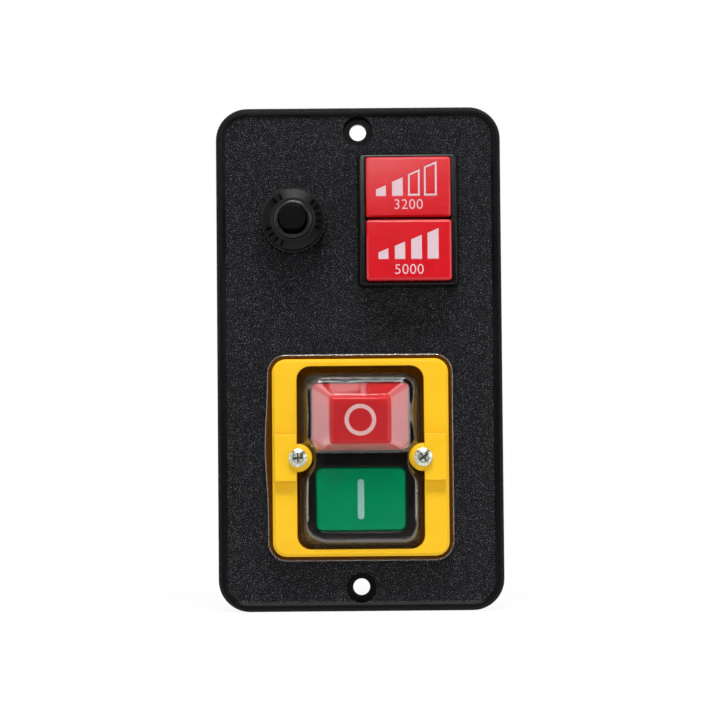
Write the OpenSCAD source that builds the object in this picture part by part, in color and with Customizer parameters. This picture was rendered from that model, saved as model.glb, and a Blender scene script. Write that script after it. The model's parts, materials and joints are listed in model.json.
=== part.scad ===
// Machine control panel: a moulded plate that carries a magnetic start and stop switch
// under a clear boot, a two-button speed selector and a push-to-reset overload breaker.
// The panel stands upright: X is its width, Z its height and its front faces -Y.
// The origin lies between the two mounting holes, on the plane that seats on the machine.

/* [Panel plate] */
// Width of the plate
panel_w = 88; // [84:1:110]
// Height of the plate
panel_h = 155.5; // [152:0.5:190]
// Radius of the plate's corners
panel_corner_r = 9.8; // [7.5:0.1:12]
// Height of the rim's front above the mounting plane
panel_depth = 6.4; // [5.6:0.1:9]
// Bevel round the plate's front edge
panel_bevel = 1.1; // [0.4:0.1:1.8]
// Width of the raised rim
rim_w = 2; // [1.6:0.1:3.2]
// Width of the slope from the rim down to the field
rim_slope = 1.1; // [0.6:0.1:1.4]
// Depth of the textured field below the rim
rim_step = 0.9; // [0.4:0.1:1.4]
// Radius of the field's corners
field_corner_r = 6; // [3:0.5:8]
// Thickness of the plate's front wall
panel_wall = 2.5; // [2:0.1:3]
// Thickness of the plate's side walls
side_wall = 2.2; // [1.6:0.1:3]
// Thickness of the stiffening ribs on the back
rib_t = 1.4; // [1:0.1:2]
// Distance between the two mounting holes
hole_pitch = 141; // [138:0.5:143]
// Diameter of a mounting hole
hole_d = 5.2; // [4.2:0.1:6]
// Diameter of a mounting hole's counterbore
cbore_d = 9.2; // [7.5:0.1:10]
// Depth of the counterbore below the field
cbore_depth = 3.2; // [1.5:0.1:3.6]
// Diameter of the boss round a mounting hole
boss_d = 12.6; // [11.5:0.1:13]

/* [Magnetic switch, outside] */
// Height of the switch's centre, measured from the panel's centre
switch_y = -30.4; // [-31:0.1:-29]
// Width of the yellow frame
frame_w = 54; // [50:0.5:60]
// Height of the yellow frame
frame_h = 60.4; // [56:0.2:66]
// Distance from the frame's side to the side of the switch body behind the plate
case_side = 4.6; // [4.3:0.1:5.2]
// Distance from the frame's upper or lower edge to the end of the switch body
case_end = 4.8; // [4.5:0.1:5.2]
// Depth of the switch body behind the mounting plane
case_depth = 32; // [31:0.5:38]
// Thickness of the switch body's walls
case_wall = 2; // [1.4:0.1:2.1]
// Radius of the yellow frame's corners
frame_corner_r = 4.3; // [3:0.1:6]
// Thickness of the yellow frame
frame_t = 3; // [2.4:0.1:3.6]
// Width of the frame's upright bars
side_bar_w = 7.5; // [7.3:0.1:8]
// Height of the frame's upper and lower bars
end_bar_h = 2.15; // [1.9:0.05:2.6]
// Radius of the window's corners
window_corner_r = 4.2; // [3:0.1:6]
// Height of a raised screw block
block_h = 14.1; // [10:0.1:18]
// Rise of a screw block above the frame
block_rise = 2.2; // [1.4:0.1:3]
// Bevel round the yellow frame's front edge
frame_bevel = 0.8; // [0.4:0.1:1.2]
// Diameter of the round ear at a frame screw
ear_d = 8.6; // [8:0.1:8.8]
// Distance of a frame screw's axis from the side of the dome
frame_screw_side = 1.6; // [1.5:0.1:2]
// Thread diameter of a frame screw
frame_screw_d = 3; // [2.5:0.1:3.4]
// Diameter of a frame screw's head
frame_head_d = 5.6; // [5:0.1:6.4]
// Height of a frame screw's head
frame_head_t = 2.1; // [1.6:0.1:2.6]

/* [Clear boot] */
// Width of the boot's skirt outside the yellow frame
boot_lip = 1.6; // [1:0.1:2.2]
// Thickness of the sheet under the yellow frame
boot_sheet_t = 1; // [0.7:0.1:1.4]
// Thickness of the dome
boot_dome_t = 0.8; // [0.6:0.1:1]
// Gap between the dome and the frame's upright bars
dome_side_gap = 2; // [1.6:0.1:2.2]
// Gap between the dome and the frame's upper and lower bars
dome_end_gap = 2.25; // [1.8:0.05:2.6]
// Radius of the dome's corners
dome_corner_r = 4; // [3:0.1:5]
// Rise of the collar round the buttons, above the sheet
collar_rise = 2.4; // [1.6:0.1:3]
// Rise of the dome over the start button, above the collar
dome_rise = 2.4; // [2:0.1:3.4]
// Air between the stop button and the boot over it
boot_gap = 0.5; // [0.3:0.1:0.9]

/* [Start and stop buttons] */
// Distance from the dome's side to the stop button
stop_side = 2.8; // [2.6:0.1:3.4]
// Distance from the dome's upper edge to the stop button
stop_end = 3.2; // [2.8:0.1:4]
// Height of the stop button's lower edge above the switch's centre
stop_foot = 2.2; // [2.1:0.1:3]
// Radius of the stop button's upper corners
stop_corner_r = 1.4; // [0.8:0.1:2.4]
// Radius of the stop button's lower corners, next to the frame screws
stop_low_corner_r = 2.8; // [2.4:0.1:4]
// Width of the slope at each side of the stop button's raised top
stop_slope_side = 6.5; // [5:0.1:7.5]
// Height of the slope above the raised top
stop_slope_high = 4.7; // [3:0.1:5.4]
// Height of the slope below the raised top
stop_slope_low = 2.9; // [2:0.1:4]
// Rise of the stop button's sloping sides
stop_slope_rise = 4.9; // [3.5:0.1:6]
// Travel of the stop button
stop_travel = 3; // [2:0.1:3]
// Distance from the dome's side to the start button
start_side = 3.7; // [3.4:0.1:4.4]
// Distance from the dome's lower edge to the start button
start_end = 3.3; // [3:0.1:4]
// Drop of the start button's upper edge below the switch's centre
start_foot = 3.1; // [2.9:0.1:3.6]
// Radius of the start button's corners
start_corner_r = 2.1; // [1:0.1:3]
// Travel of the start button and of the contact carrier
start_travel = 3; // [2:0.1:3]
// Wall thickness of the button caps
cap_wall = 1.4; // [1:0.1:1.8]
// Diameter of a button's stem
stem_d = 5; // [4:0.1:5.4]
// Outer diameter of the ring printed on the stop button
ring_mark_d = 9.6; // [7:0.1:11]
// Width of the lines of the printed marks
mark_line = 1.25; // [0.8:0.05:1.8]
// Length of the bar printed on the start button
bar_mark_h = 12.2; // [8:0.1:14]
// Width of the bar printed on the start button
bar_mark_w = 2; // [1.2:0.1:3]

/* [Speed selector] */
// Distance of the selector's centre from the panel's centre line
selector_x = 15.3; // [14.6:0.1:20]
// Height of the selector and the breaker above the panel's centre
upper_row_y = 42.6; // [41.6:0.1:42.8]
// Width of the selector's bezel and body
selector_w = 29.6; // [29.2:0.1:31]
// Height of the selector's bezel and body
selector_h = 39.9; // [39:0.1:40.6]
// Rise of the bezel above the plate's field
bezel_rise = 4; // [3.6:0.1:5]
// Width of the flange round the bezel
bezel_flange = 0.9; // [0.6:0.1:1.4]
// Distance from the bezel's side to the speed buttons
key_side = 1.8; // [1.7:0.1:2.4]
// Distance from the bezel's upper or lower edge to the speed buttons
key_end = 0.9; // [0.8:0.1:1.4]
// Gap between the two speed buttons
key_gap = 1.2; // [0.4:0.1:1.4]
// Rise of the pressed speed button above the bezel
key_rise = 2.6; // [1.6:0.1:3.4]
// Travel of the speed buttons
key_travel = 3.5; // [2.6:0.1:3.5]
// Depth of the selector body behind the mounting plane
selector_depth = 22; // [21:0.5:28]

/* [Reset breaker] */
// Distance of the breaker's centre from the panel's centre line
breaker_x = -20.1; // [-23:0.1:-18]
// Diameter of the breaker's threaded neck
neck_d = 11.8; // [11:0.1:12]
// Bore at the mouth of the neck
neck_bore_d = 9.1; // [8.8:0.1:9.8]
// Height of the neck above the plate's field
neck_rise = 9.2; // [8.4:0.1:10.4]
// Outer diameter of the knurled nut
nut_d = 20.6; // [18:0.1:23]
// Height of the knurled nut
nut_h = 7.6; // [6:0.1:8]
// Number of the nut's grip notches
nut_notches = 42; // [24:1:46]
// Diameter of the reset button
reset_d = 8.1; // [7:0.1:8.4]
// Rise of the reset button above the neck
reset_rise = 5.2; // [3.6:0.1:6.5]
// Travel of the reset button
reset_travel = 3; // [2:0.1:3.4]
// Width of the breaker body
breaker_w = 15; // [14.8:0.2:17]
// Height of the breaker body
breaker_h = 33; // [31:0.5:36]
// Depth of the breaker body behind the mounting plane
breaker_depth = 27; // [25:0.5:34]

/* [Blade terminals] */
// Width of a blade terminal
blade_w = 6.3; // [4.8:0.1:6.3]
// Thickness of a blade terminal
blade_t = 0.8; // [0.5:0.05:0.9]
// Length of a blade outside its base
blade_out = 8; // [6:0.5:12]

/* [Hidden] */
$fn = 48;
// Overlap that lets a cut pass its face
cut = 0.5;
// Overlap that joins two solids of one piece
join = 0.1;
// Clearance of a sliding cap in its well, on each side
slide_gap = 0.2;
// Radial clearance of a stem or pin in its guide
stem_gap = 0.06;
// Radial clearance of a screw thread
thread_gap = 0.03;
// Clearance between neighbours that don't move against each other
fit_gap = 0.1;
// Gap that keeps parts of different bodies from touching
touch_gap = 0.2;
// Depth and rise of a printed mark in its face
mark_depth = 0.25;
mark_proud = 0.05;

// Heights of the plate's faces above the mounting plane
field_z = panel_depth - rim_step;
wall_z = field_z - panel_wall;
rib_z = 1;
rib_margin = 3.5;
rib_root = 0.5;
case_gap = 0.2;

// Magnetic switch, from its yellow frame inwards
case_w = frame_w - 2 * case_side;
case_h = frame_h - 2 * case_end;
window_w = frame_w - 2 * side_bar_w;
window_h = frame_h - 2 * end_bar_h;
dome_w = window_w - 2 * dome_side_gap;
dome_h = window_h - 2 * dome_end_gap;
stop_w = dome_w - 2 * stop_side;
stop_h = dome_h / 2 - stop_end - stop_foot;
stop_y = stop_foot + stop_h / 2;
stop_top_w = stop_w - 2 * stop_slope_side;
stop_top_h = stop_h - stop_slope_high - stop_slope_low;
stop_top_drop = (stop_slope_high - stop_slope_low) / 2;
start_w = dome_w - 2 * start_side;
start_h = dome_h / 2 - start_end - start_foot;
start_drop = start_foot + start_h / 2;

// Magnetic switch, from the plate forwards
flange_t = 2;
sheet_z = field_z + flange_t;
frame_z = sheet_z + boot_sheet_t;
frame_front_z = frame_z + frame_t;
block_front_z = frame_front_z + block_rise;
collar_w = dome_w - 2 * (boot_dome_t + slide_gap);
collar_h = dome_h - 2 * (boot_dome_t + slide_gap);
collar_front_z = frame_z + collar_rise;
dome_front_z = collar_front_z + dome_rise;
ear_notch_r = ear_d / 2 + fit_gap;
screw_x = dome_w / 2 + frame_screw_side;
screw_pillar_r = 2.6;
screw_pillar_z = -12;
screw_end_z = screw_pillar_z + 2;

// Upright ribs stand midway between the switch and the plate's sides
rib_x = (panel_w / 2 - side_wall + case_w / 2) / 2;

// Magnetic switch, from the plate backwards
well_floor_z = 1;
well_floor_t = 1.5;
chamber_z = well_floor_z - well_floor_t;
chamber_w = case_w - 2 * case_wall;
chamber_h = case_h - 2 * case_wall;
base_t = 3;
base_z = -case_depth;
base_lip_t = 1.2;
base_lip_h = 2;
base_screw_d = 2.6;
base_screw_head_d = 4.6;
base_screw_head_t = 1.6;
base_pillar_r = 2.3;
base_pillar_h = 9;
base_screw_floor = 3;
base_screw_x = chamber_w / 2 - base_pillar_r;
base_screw_y = chamber_h / 2 - base_pillar_r;
snap_w = 10;
snap_rise = 1.3;
snap_root = 0.2;
snap_face = 1.4;
snap_length = 8;
snap_slit_w = 1.2;
snap_slit_side = 1;

// Buttons of the magnetic switch
stop_skirt_z = well_floor_z + stop_travel + 0.6;
stop_shoulder_z = dome_front_z - boot_dome_t - boot_gap;
stop_top_z = stop_shoulder_z + stop_slope_rise;
start_face_z = collar_front_z - 0.4;
start_skirt_z = well_floor_z + start_travel + 0.6;
start_bevel = 0.5;
stem_end_z = -6;
stem_neck_r = 1.4;
stem_neck_h = 1.4;
retainer_t = 0.8;
retainer_z = chamber_z - touch_gap - retainer_t;
spring_wire = 0.7;
spring_r = stem_d / 2 + 0.9;
retainer_rim = 1.5;

// Contact carrier, armature and magnet
carrier_front_z = stem_end_z - 0.3;
carrier_t = 3;
carrier_back_z = carrier_front_z - carrier_t;
carrier_h = 18;
carrier_arm_w = 6;
armature_t = 2.5;
armature_h = 9;
armature_back_z = carrier_back_z - armature_t;
core_front_z = armature_back_z - start_travel - touch_gap;
core_leg = 4;
core_middle_leg = 8;
core_yoke_t = 5;
contact_y = 6;
contact_w = 3.6;
main_blade_inset = 4.2;
stop_blade_inset = 2.6;
contact_reach = 2.2;
main_blade_x = chamber_w / 2 - main_blade_inset;
stop_blade_x = chamber_w / 2 - stop_blade_inset;
contact_x = main_blade_x - contact_reach;
armature_w = 2 * (contact_x - contact_w / 2 - touch_gap);
bridge_hub_r = 2.8;
guide_w = 1.4;
guide_h = 4;
bridge_t = 1;
tip_t = 0.9;
tip_d = 3;
head_t = 0.8;
carrier_w = 2 * contact_x + contact_w;
fixed_tip_z = carrier_back_z - bridge_t - tip_t - start_travel - touch_gap;
bobbin_w = armature_w - 2 * core_leg - 2 * fit_gap;
bobbin_h = 19;
bobbin_t = 0.8;
bobbin_front_z = core_front_z - 0.8;
bobbin_back_z = base_z + core_yoke_t + fit_gap;
carrier_spring_y = 7;
carrier_spring_r = 1.6;
carrier_spring_wire = 0.5;
stop_contact_tip = 0.5;
stop_bridge_t = 0.8;
stop_bridge_z = stem_end_z + 0.2;
stop_strip_z = stop_bridge_z + stop_bridge_t + stop_contact_tip + touch_gap;
stop_blade_rise = 1.4;
stop_blade_y = stop_y + stop_blade_rise;
blade_tip = 0.9;
blade_hole_r = 0.85;
blade_hole_z = 3.4;
blade_end_z = base_z - base_t - blade_out;

// Speed selector
key_w = selector_w - 2 * key_side;
key_h = (selector_h - key_gap) / 2 - key_end;
bezel_front_z = field_z + bezel_rise;
bezel_foot = 0.5;
bezel_corner_r = 1.8;
selector_wall = 2;
key_pitch = key_h + key_gap;
key_front_z = bezel_front_z + key_rise;
key_cap_h = 8.4;
key_bevel = 0.6;
key_well_w = key_w + 2 * slide_gap;
key_well_h = 2 * key_h + key_gap + 2 * slide_gap;
key_floor_z = key_front_z - key_cap_h - 0.8;
key_floor_t = 1.5;
key_stem_d = 4.6;
key_toe_r = 1;
key_toe_h = 0.8;
selector_chamber_z = key_floor_z - key_floor_t;
rocker_z = -9;
rocker_arm = key_pitch / 2;
rocker_tip_r = 1.2;
rocker_hub_r = 3.2;
rocker_tilt = asin(key_travel / 2 / rocker_arm);
key_toe_z = rocker_z - (rocker_arm - key_toe_r) * tan(rocker_tilt)
    + rocker_tip_r / cos(rocker_tilt) + touch_gap;
rocker_w = 6;
pin_d = 2.6;
cheek_t = 1.6;
cheek_r = 3.2;
rocker_contact_w = 4.4;
rocker_contact_t = 0.7;
rocker_contact_y = 6.5;
rocker_contact_z = rocker_hub_r + rocker_contact_t;
selector_base_t = 2.5;
selector_base_z = -selector_depth;
selector_blade_inset = 8.6;
selector_blade_y = selector_h / 2 - selector_blade_inset;
selector_blade_end_z = selector_base_z - selector_base_t - blade_out;
selector_tip_z = rocker_z - touch_gap
    - rocker_contact_y * sin(rocker_tilt) - rocker_contact_z * cos(rocker_tilt);

// Printed bars on the speed buttons
bar_count = 4;
bar_first_w = 3;
bar_pitch = 5.05;
bar_foot_y = -2.75;
bar_first_h = 1.95;
bar_slope = 0.43;
bar_outline = 0.55;
// Each row: shift across, growth in height and growth in width from one bar to the next
upper_row = [-0.8, 2.3, 0.3];
lower_row = [-0.25, 1.95, 0.12];

// Reset breaker
neck_front_z = field_z + neck_rise;
neck_floor_z = 1.5;
neck_chamfer = 0.45;
nut_front_z = field_z + nut_h;
nut_grip_z = nut_front_z - 2.3;
nut_rim_z = nut_front_z - 0.9;
nut_rim_r = nut_d / 2 - 1.1;
nut_rim_flare = 0.25;
nut_ring_r = neck_d / 2 + 1;
nut_ring_rise = 0.4;
notch_r = 0.55;
notch_x = nut_d / 2 + 0.1;
reset_front_z = neck_front_z + reset_rise;
reset_head_h = 10;
reset_head_z = reset_front_z - reset_head_h;
reset_flat = 0.6;
reset_bevel = 0.3;
plunger_r = 1.8;
plunger_end_z = -8;
plunger_barb_r = 2.5;
plunger_barb_h = 1.2;
breaker_wall = 1.8;
breaker_chamber_z = 0;
breaker_cover_t = 2.5;
breaker_cover_z = -breaker_depth;
breaker_blade_inset = 7;
breaker_blade_y = breaker_h / 2 - breaker_blade_inset;
breaker_head_w = 3;
rivet_r = 1.2;
breaker_blade_end_z = breaker_cover_z - breaker_cover_t - blade_out;
bimetal_w = 5;
bimetal_t = 0.5;
bimetal_bend_r = 50;
bimetal_crown_z = plunger_end_z - reset_travel - touch_gap;
bimetal_end_y = breaker_blade_y + 0.6;
bimetal_foot_z = bimetal_crown_z - bimetal_bend_r
    + sqrt(pow(bimetal_bend_r - bimetal_t, 2) - pow(bimetal_end_y, 2));

// The parts are drawn face up and turned to stand upright, front towards -Y
module upright() { rotate([90, 0, 0]) children(); }
module at_switch() { upright() translate([0, switch_y, 0]) children(); }
module at_selector() { upright() translate([selector_x, upper_row_y, 0]) children(); }
module at_breaker() { upright() translate([breaker_x, upper_row_y, 0]) children(); }

// Rectangle with round corners, the lower two of radius low_r and the upper two of high_r
module corner_rect(w, h, low_r, high_r) {
    x = w / 2;
    y = h / 2;
    polygon([
        [low_r - x, -y], [x - low_r, -y], [x, low_r - y], [x, y - high_r],
        [x - high_r, y], [high_r - x, y], [-x, y - high_r], [-x, low_r - y],
    ]);
    for (s = [-1, 1]) {
        translate([s * (x - low_r), low_r - y]) circle(low_r);
        translate([s * (x - high_r), y - high_r]) circle(high_r);
    }
}

module round_rect(w, h, r) { corner_rect(w, h, r, r); }

// Slab with round corners, from z0 up to z1
module slab(w, h, r, z0, z1) {
    translate([0, 0, z0]) linear_extrude(z1 - z0) round_rect(w, h, r);
}

// Block with square corners, from z0 up to z1
module block(w, h, z0, z1) {
    translate([-w / 2, -h / 2, z0]) cube([w, h, z1 - z0]);
}

// Round bar, from z0 up to z1
module rod(r, z0, z1) {
    translate([0, 0, z0]) cylinder(h = z1 - z0, r = r);
}

// Block whose four sides slope in to a smaller top, which is moved by drop along -Y
module hip_block(w0, h0, w1, h1, drop, z0, z1) {
    rise = z1 - z0;
    translate([0, 0, z0]) intersection() {
        translate([0, h0 / 2, 0]) rotate([90, 0, 0]) linear_extrude(h0)
            polygon([[-w0 / 2, 0], [w0 / 2, 0], [w1 / 2, rise], [-w1 / 2, rise]]);
        translate([-w0 / 2, 0, 0]) rotate([90, 0, 90]) linear_extrude(w0)
            polygon([[-h0 / 2, 0], [h0 / 2, 0], [h1 / 2 - drop, rise], [-h1 / 2 - drop, rise]]);
    }
}

// Slab with round corners whose sides lean in by inset over the last rise of its height
module tapered_slab(w, h, r, z0, z1, inset, rise) {
    x = w / 2;
    y = h / 2;
    low = z1 - rise;
    rotate([90, 0, 0]) linear_extrude(h - 2 * r, center = true)
        polygon([[-x, z0], [x, z0], [x, low], [x - inset, z1], [inset - x, z1], [-x, low]]);
    rotate([90, 0, 90]) linear_extrude(w - 2 * r, center = true)
        polygon([[-y, z0], [y, z0], [y, low], [y - inset, z1], [inset - y, z1], [-y, low]]);
    for (sx = [-1, 1], sy = [-1, 1]) translate([sx * (x - r), sy * (y - r), 0])
        rotate_extrude() polygon([[0, z0], [r, z0], [r, low], [r - inset, z1], [0, z1]]);
}

// Slab with round corners whose front edge is bevelled by b
module bevel_slab(w, h, r, z0, z1, b) { tapered_slab(w, h, r, z0, z1, b, b); }

// Compression spring of round wire with closed ends, from z0 up to z1
module coil_spring(r, wire, turns, z0, z1) {
    sides = 8;
    steps = 16;
    end_turns = 0.75;
    rings = turns * steps;
    span = z1 - z0 - wire;
    function lift(t) =
        t < end_turns ? wire * t / 2
        : t > turns - end_turns ? span - wire * (turns - t) / 2
        : let (low = wire * end_turns / 2)
          low + (span - 2 * low) * (t - end_turns) / (turns - 2 * end_turns);
    points = [for (i = [0:rings], k = [0:sides - 1])
        let (a = 360 * i / steps, b = 360 * k / sides, q = r + wire / 2 * cos(b))
        [q * cos(a), q * sin(a), z0 + wire / 2 + lift(i / steps) + wire / 2 * sin(b)]];
    skin = [for (i = [0:rings - 1], k = [0:sides - 1])
        let (n = (k + 1) % sides)
        [i * sides + k, (i + 1) * sides + k, (i + 1) * sides + n, i * sides + n]];
    ends = [[for (k = [0:sides - 1]) k], [for (k = [sides - 1:-1:0]) rings * sides + k]];
    polyhedron(points, concat(skin, ends));
}

// Blade terminal standing on its edge along Y, from its end at z0 up to z1
module blade(z0, z1) {
    x = blade_w / 2;
    rotate([90, 0, 90]) translate([0, 0, -blade_t / 2]) linear_extrude(blade_t) difference() {
        polygon([
            [blade_tip - x, z0], [x - blade_tip, z0], [x, z0 + 2 * blade_tip],
            [x, z1], [-x, z1], [-x, z0 + 2 * blade_tip],
        ]);
        translate([0, z0 + blade_hole_z]) circle(blade_hole_r);
    }
}

// Slot in a base that a blade passes through
module blade_slot(z0, z1) {
    block(blade_t + 2 * fit_gap, blade_w + 2 * fit_gap, z0 - cut, z1 + cut);
}

// Barb in a body's upper and lower side, which catches behind the plate's wall
module snap_barbs(h) {
    for (s = [0, 1]) mirror([0, s, 0])
        translate([-snap_w / 2, h / 2 - snap_root, 0]) rotate([90, 0, 90]) linear_extrude(snap_w)
            polygon([
                [0, wall_z - touch_gap], [snap_root + snap_rise, wall_z - touch_gap],
                [snap_root + snap_rise, wall_z - snap_face], [0, wall_z - snap_length],
            ]);
}

// Pan head screw with a cross recess, its head seated at z and its shank down to z_end
module cross_screw(shank_d, head_d, head_t, z, z_end) {
    dome = 0.45 * head_t;
    ball_r = (pow(head_d / 2, 2) + pow(dome, 2)) / (2 * dome);
    difference() {
        union() {
            intersection() {
                rod(head_d / 2, z, z + head_t);
                translate([0, 0, z + head_t - ball_r]) sphere(ball_r);
            }
            rod(shank_d / 2, z_end, z + join);
        }
        for (a = [0, 90]) rotate(a)
            block(0.55 * head_d, 0.11 * head_d, z + 0.45 * head_t, z + head_t + cut);
    }
}

// Ribs behind the field: two upright and four across
module panel_ribs() {
    across = panel_w - 2 * (side_wall - rib_root);
    along = panel_h - 2 * (side_wall - rib_root);
    for (s = [-1, 1]) translate([s * rib_x, 0, 0]) block(rib_t, along, rib_z, wall_z + rib_root);
    for (y = [hole_pitch / 2, switch_y + case_h / 2 + rib_margin,
              switch_y - case_h / 2 - rib_margin, -hole_pitch / 2])
        translate([0, y, 0]) block(across, rib_t, rib_z, wall_z + rib_root);
}

// Moulded plate with its rim, cut-outs, ribs and mounting holes
module panel_plate() {
    color([0.09, 0.09, 0.095]) upright() difference() {
        union() {
            difference() {
                bevel_slab(panel_w, panel_h, panel_corner_r, 0, panel_depth, panel_bevel);
                mirror([0, 0, 1])
                    tapered_slab(panel_w - 2 * rim_w, panel_h - 2 * rim_w, field_corner_r + rim_slope,
                                 -panel_depth - cut, -field_z, rim_slope, rim_step);
                slab(panel_w - 2 * side_wall, panel_h - 2 * side_wall, panel_corner_r - side_wall,
                     -cut, wall_z);
            }
            for (s = [-1, 1]) translate([0, s * hole_pitch / 2, 0]) rod(boss_d / 2, 0, field_z);
            panel_ribs();
        }
        for (s = [-1, 1]) translate([0, s * hole_pitch / 2, 0]) {
            rod(hole_d / 2, -cut, panel_depth);
            rod(cbore_d / 2, field_z - cbore_depth, panel_depth + cut);
        }
        translate([0, switch_y, 0])
            block(case_w + 2 * case_gap, case_h + 2 * case_gap, -cut, panel_depth);
        translate([selector_x, upper_row_y, 0])
            block(selector_w + 2 * case_gap, selector_h + 2 * case_gap, -cut, panel_depth);
        translate([breaker_x, upper_row_y, 0]) {
            rod(neck_d / 2 + fit_gap, -cut, panel_depth);
            block(breaker_w + 2 * case_gap, breaker_h + 2 * case_gap, -cut, wall_z);
        }
    }
}

// Switch body: flange, collar with its two button wells, and the chamber behind
module switch_case() {
    color([0.07, 0.07, 0.075]) at_switch() difference() {
        union() {
            slab(frame_w - 2 * fit_gap, frame_h - 2 * fit_gap, frame_corner_r, field_z, sheet_z);
            slab(collar_w, collar_h, dome_corner_r - boot_dome_t - slide_gap, field_z, collar_front_z);
            difference() {
                block(case_w, case_h, base_z, field_z + join);
                block(chamber_w, chamber_h, base_z - cut, chamber_z);
            }
            for (s = [-1, 1])
                translate([s * screw_x, 0, 0]) rod(screw_pillar_r, screw_pillar_z, chamber_z + join);
            for (x = [-1, 1], y = [-1, 1]) translate([x * base_screw_x, y * base_screw_y, 0])
                base_pillar(x, y);
            for (s = [-1, 1]) translate([s * (carrier_arm_w / 2 + slide_gap + guide_w / 2),
                                         guide_h / 4 - chamber_h / 2, 0])
                block(guide_w, guide_h, carrier_back_z - start_travel, chamber_z + join);
            snap_barbs(case_h);
        }
        for (s = [-1, 1]) translate([s * screw_x, 0, 0]) {
            rod(ear_notch_r + boot_dome_t + slide_gap, sheet_z, collar_front_z + cut);
            rod(frame_screw_d / 2 + thread_gap, screw_end_z, sheet_z + cut);
        }
        translate([0, stop_y, well_floor_z]) linear_extrude(collar_front_z)
            corner_rect(stop_w + 2 * slide_gap, stop_h + 2 * slide_gap, stop_low_corner_r + slide_gap,
                        stop_corner_r + slide_gap);
        translate([0, -start_drop, 0])
            slab(start_w + 2 * slide_gap, start_h + 2 * slide_gap, start_corner_r + slide_gap,
                 well_floor_z, collar_front_z + cut);
        for (y = [stop_y, -start_drop])
            translate([0, y, 0]) rod(stem_d / 2 + stem_gap, chamber_z - cut, well_floor_z + cut);
        for (x = [-1, 1], y = [-1, 1]) {
            translate([x * base_screw_x, y * base_screw_y, 0])
                rod(base_screw_d / 2 + thread_gap, base_z - cut,
                    base_z + base_pillar_h - base_screw_floor + 1);
            translate([x * (snap_w / 2 + snap_slit_side + snap_slit_w / 2),
                       y * (case_h - case_wall) / 2, 0])
                block(snap_slit_w, case_wall + 2 * cut, chamber_z - 1 - snap_length, chamber_z - 1);
        }
    }
}

// Corner pillar for a base screw, filled out to the walls on its outer sides
module base_pillar(x, y) {
    rod(base_pillar_r, base_z, base_z + base_pillar_h);
    translate([x * (base_pillar_r + join) / 2, 0, 0])
        block(base_pillar_r + join, 2 * base_pillar_r, base_z, base_z + base_pillar_h);
    translate([0, y * (base_pillar_r + join) / 2, 0])
        block(2 * base_pillar_r, base_pillar_r + join, base_z, base_z + base_pillar_h);
}

// Cover of the switch body, with the slots for the terminals
module switch_base() {
    lip_y = (chamber_h - base_lip_t) / 2 - fit_gap;
    lip_x = (chamber_w - base_lip_t) / 2 - fit_gap;
    color([0.12, 0.12, 0.125]) at_switch() difference() {
        union() {
            block(case_w, case_h, base_z - base_t, base_z);
            for (s = [-1, 1]) {
                translate([0, s * lip_y, 0])
                    block(2 * (base_screw_x - base_pillar_r - fit_gap), base_lip_t,
                          base_z - join, base_z + base_lip_h);
                translate([s * lip_x, 0, 0])
                    block(base_lip_t, 2 * (base_screw_y - base_pillar_r - fit_gap),
                          base_z - join, base_z + base_lip_h);
            }
        }
        for (x = [-1, 1]) {
            for (y = [-1, 1]) {
                translate([x * main_blade_x, y * contact_y, 0]) blade_slot(base_z - base_t, base_z);
                translate([x * base_screw_x, y * base_screw_y, 0])
                    rod(base_screw_d / 2 + thread_gap, base_z - base_t - cut, base_z + cut);
            }
            translate([x * stop_blade_x, stop_blade_y, 0]) blade_slot(base_z - base_t, base_z);
        }
    }
}

// The four screws that hold the cover
module base_screws() {
    color([0.75, 0.75, 0.72]) at_switch() for (x = [-1, 1], y = [-1, 1])
        translate([x * base_screw_x, y * base_screw_y, base_z - base_t]) mirror([0, 0, 1])
            cross_screw(base_screw_d, base_screw_head_d, base_screw_head_t, 0,
                        base_screw_floor - base_t - base_pillar_h);
}

// Outline of the dome, grown by extra, with a round waist at each frame screw
module dome_outline(extra) {
    difference() {
        round_rect(dome_w + 2 * extra, dome_h + 2 * extra, dome_corner_r + extra);
        for (s = [-1, 1]) translate([s * screw_x, 0]) circle(ear_notch_r - extra);
    }
}

// Raised part of the boot over the stop button, grown by t beyond the air round the button
module stop_cover(t, z0) {
    grow = 2 * (boot_gap + t);
    difference() {
        translate([0, stop_y, 0])
            hip_block(stop_w + grow, stop_h + grow, stop_top_w + grow, stop_top_h + grow,
                      stop_top_drop, z0, stop_top_z + boot_gap + t);
        for (s = [-1, 1]) translate([s * screw_x, 0, 0])
            rod(ear_notch_r + boot_dome_t - t, z0 - cut, block_front_z + cut);
    }
}

// Clear boot: a sheet under the yellow frame, its skirt, and the dome over both buttons
module clear_boot() {
    t = boot_dome_t;
    color([0.9, 0.9, 0.9, 0.35]) at_switch() difference() {
        union() {
            slab(frame_w + 2 * boot_lip, frame_h + 2 * boot_lip, frame_corner_r + boot_lip,
                 field_z, frame_z);
            translate([0, 0, sheet_z]) linear_extrude(dome_front_z - sheet_z) dome_outline(0);
            stop_cover(t, dome_front_z - t);
        }
        slab(frame_w, frame_h, frame_corner_r, field_z - cut, sheet_z);
        translate([0, 0, sheet_z - cut]) linear_extrude(dome_front_z - t - sheet_z + cut)
            dome_outline(-t);
        stop_cover(0, dome_front_z - t - 0.01);
        for (s = [-1, 1]) translate([s * screw_x, 0, 0])
            rod(frame_screw_d / 2 + fit_gap, field_z, frame_z + cut);
    }
}

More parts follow.
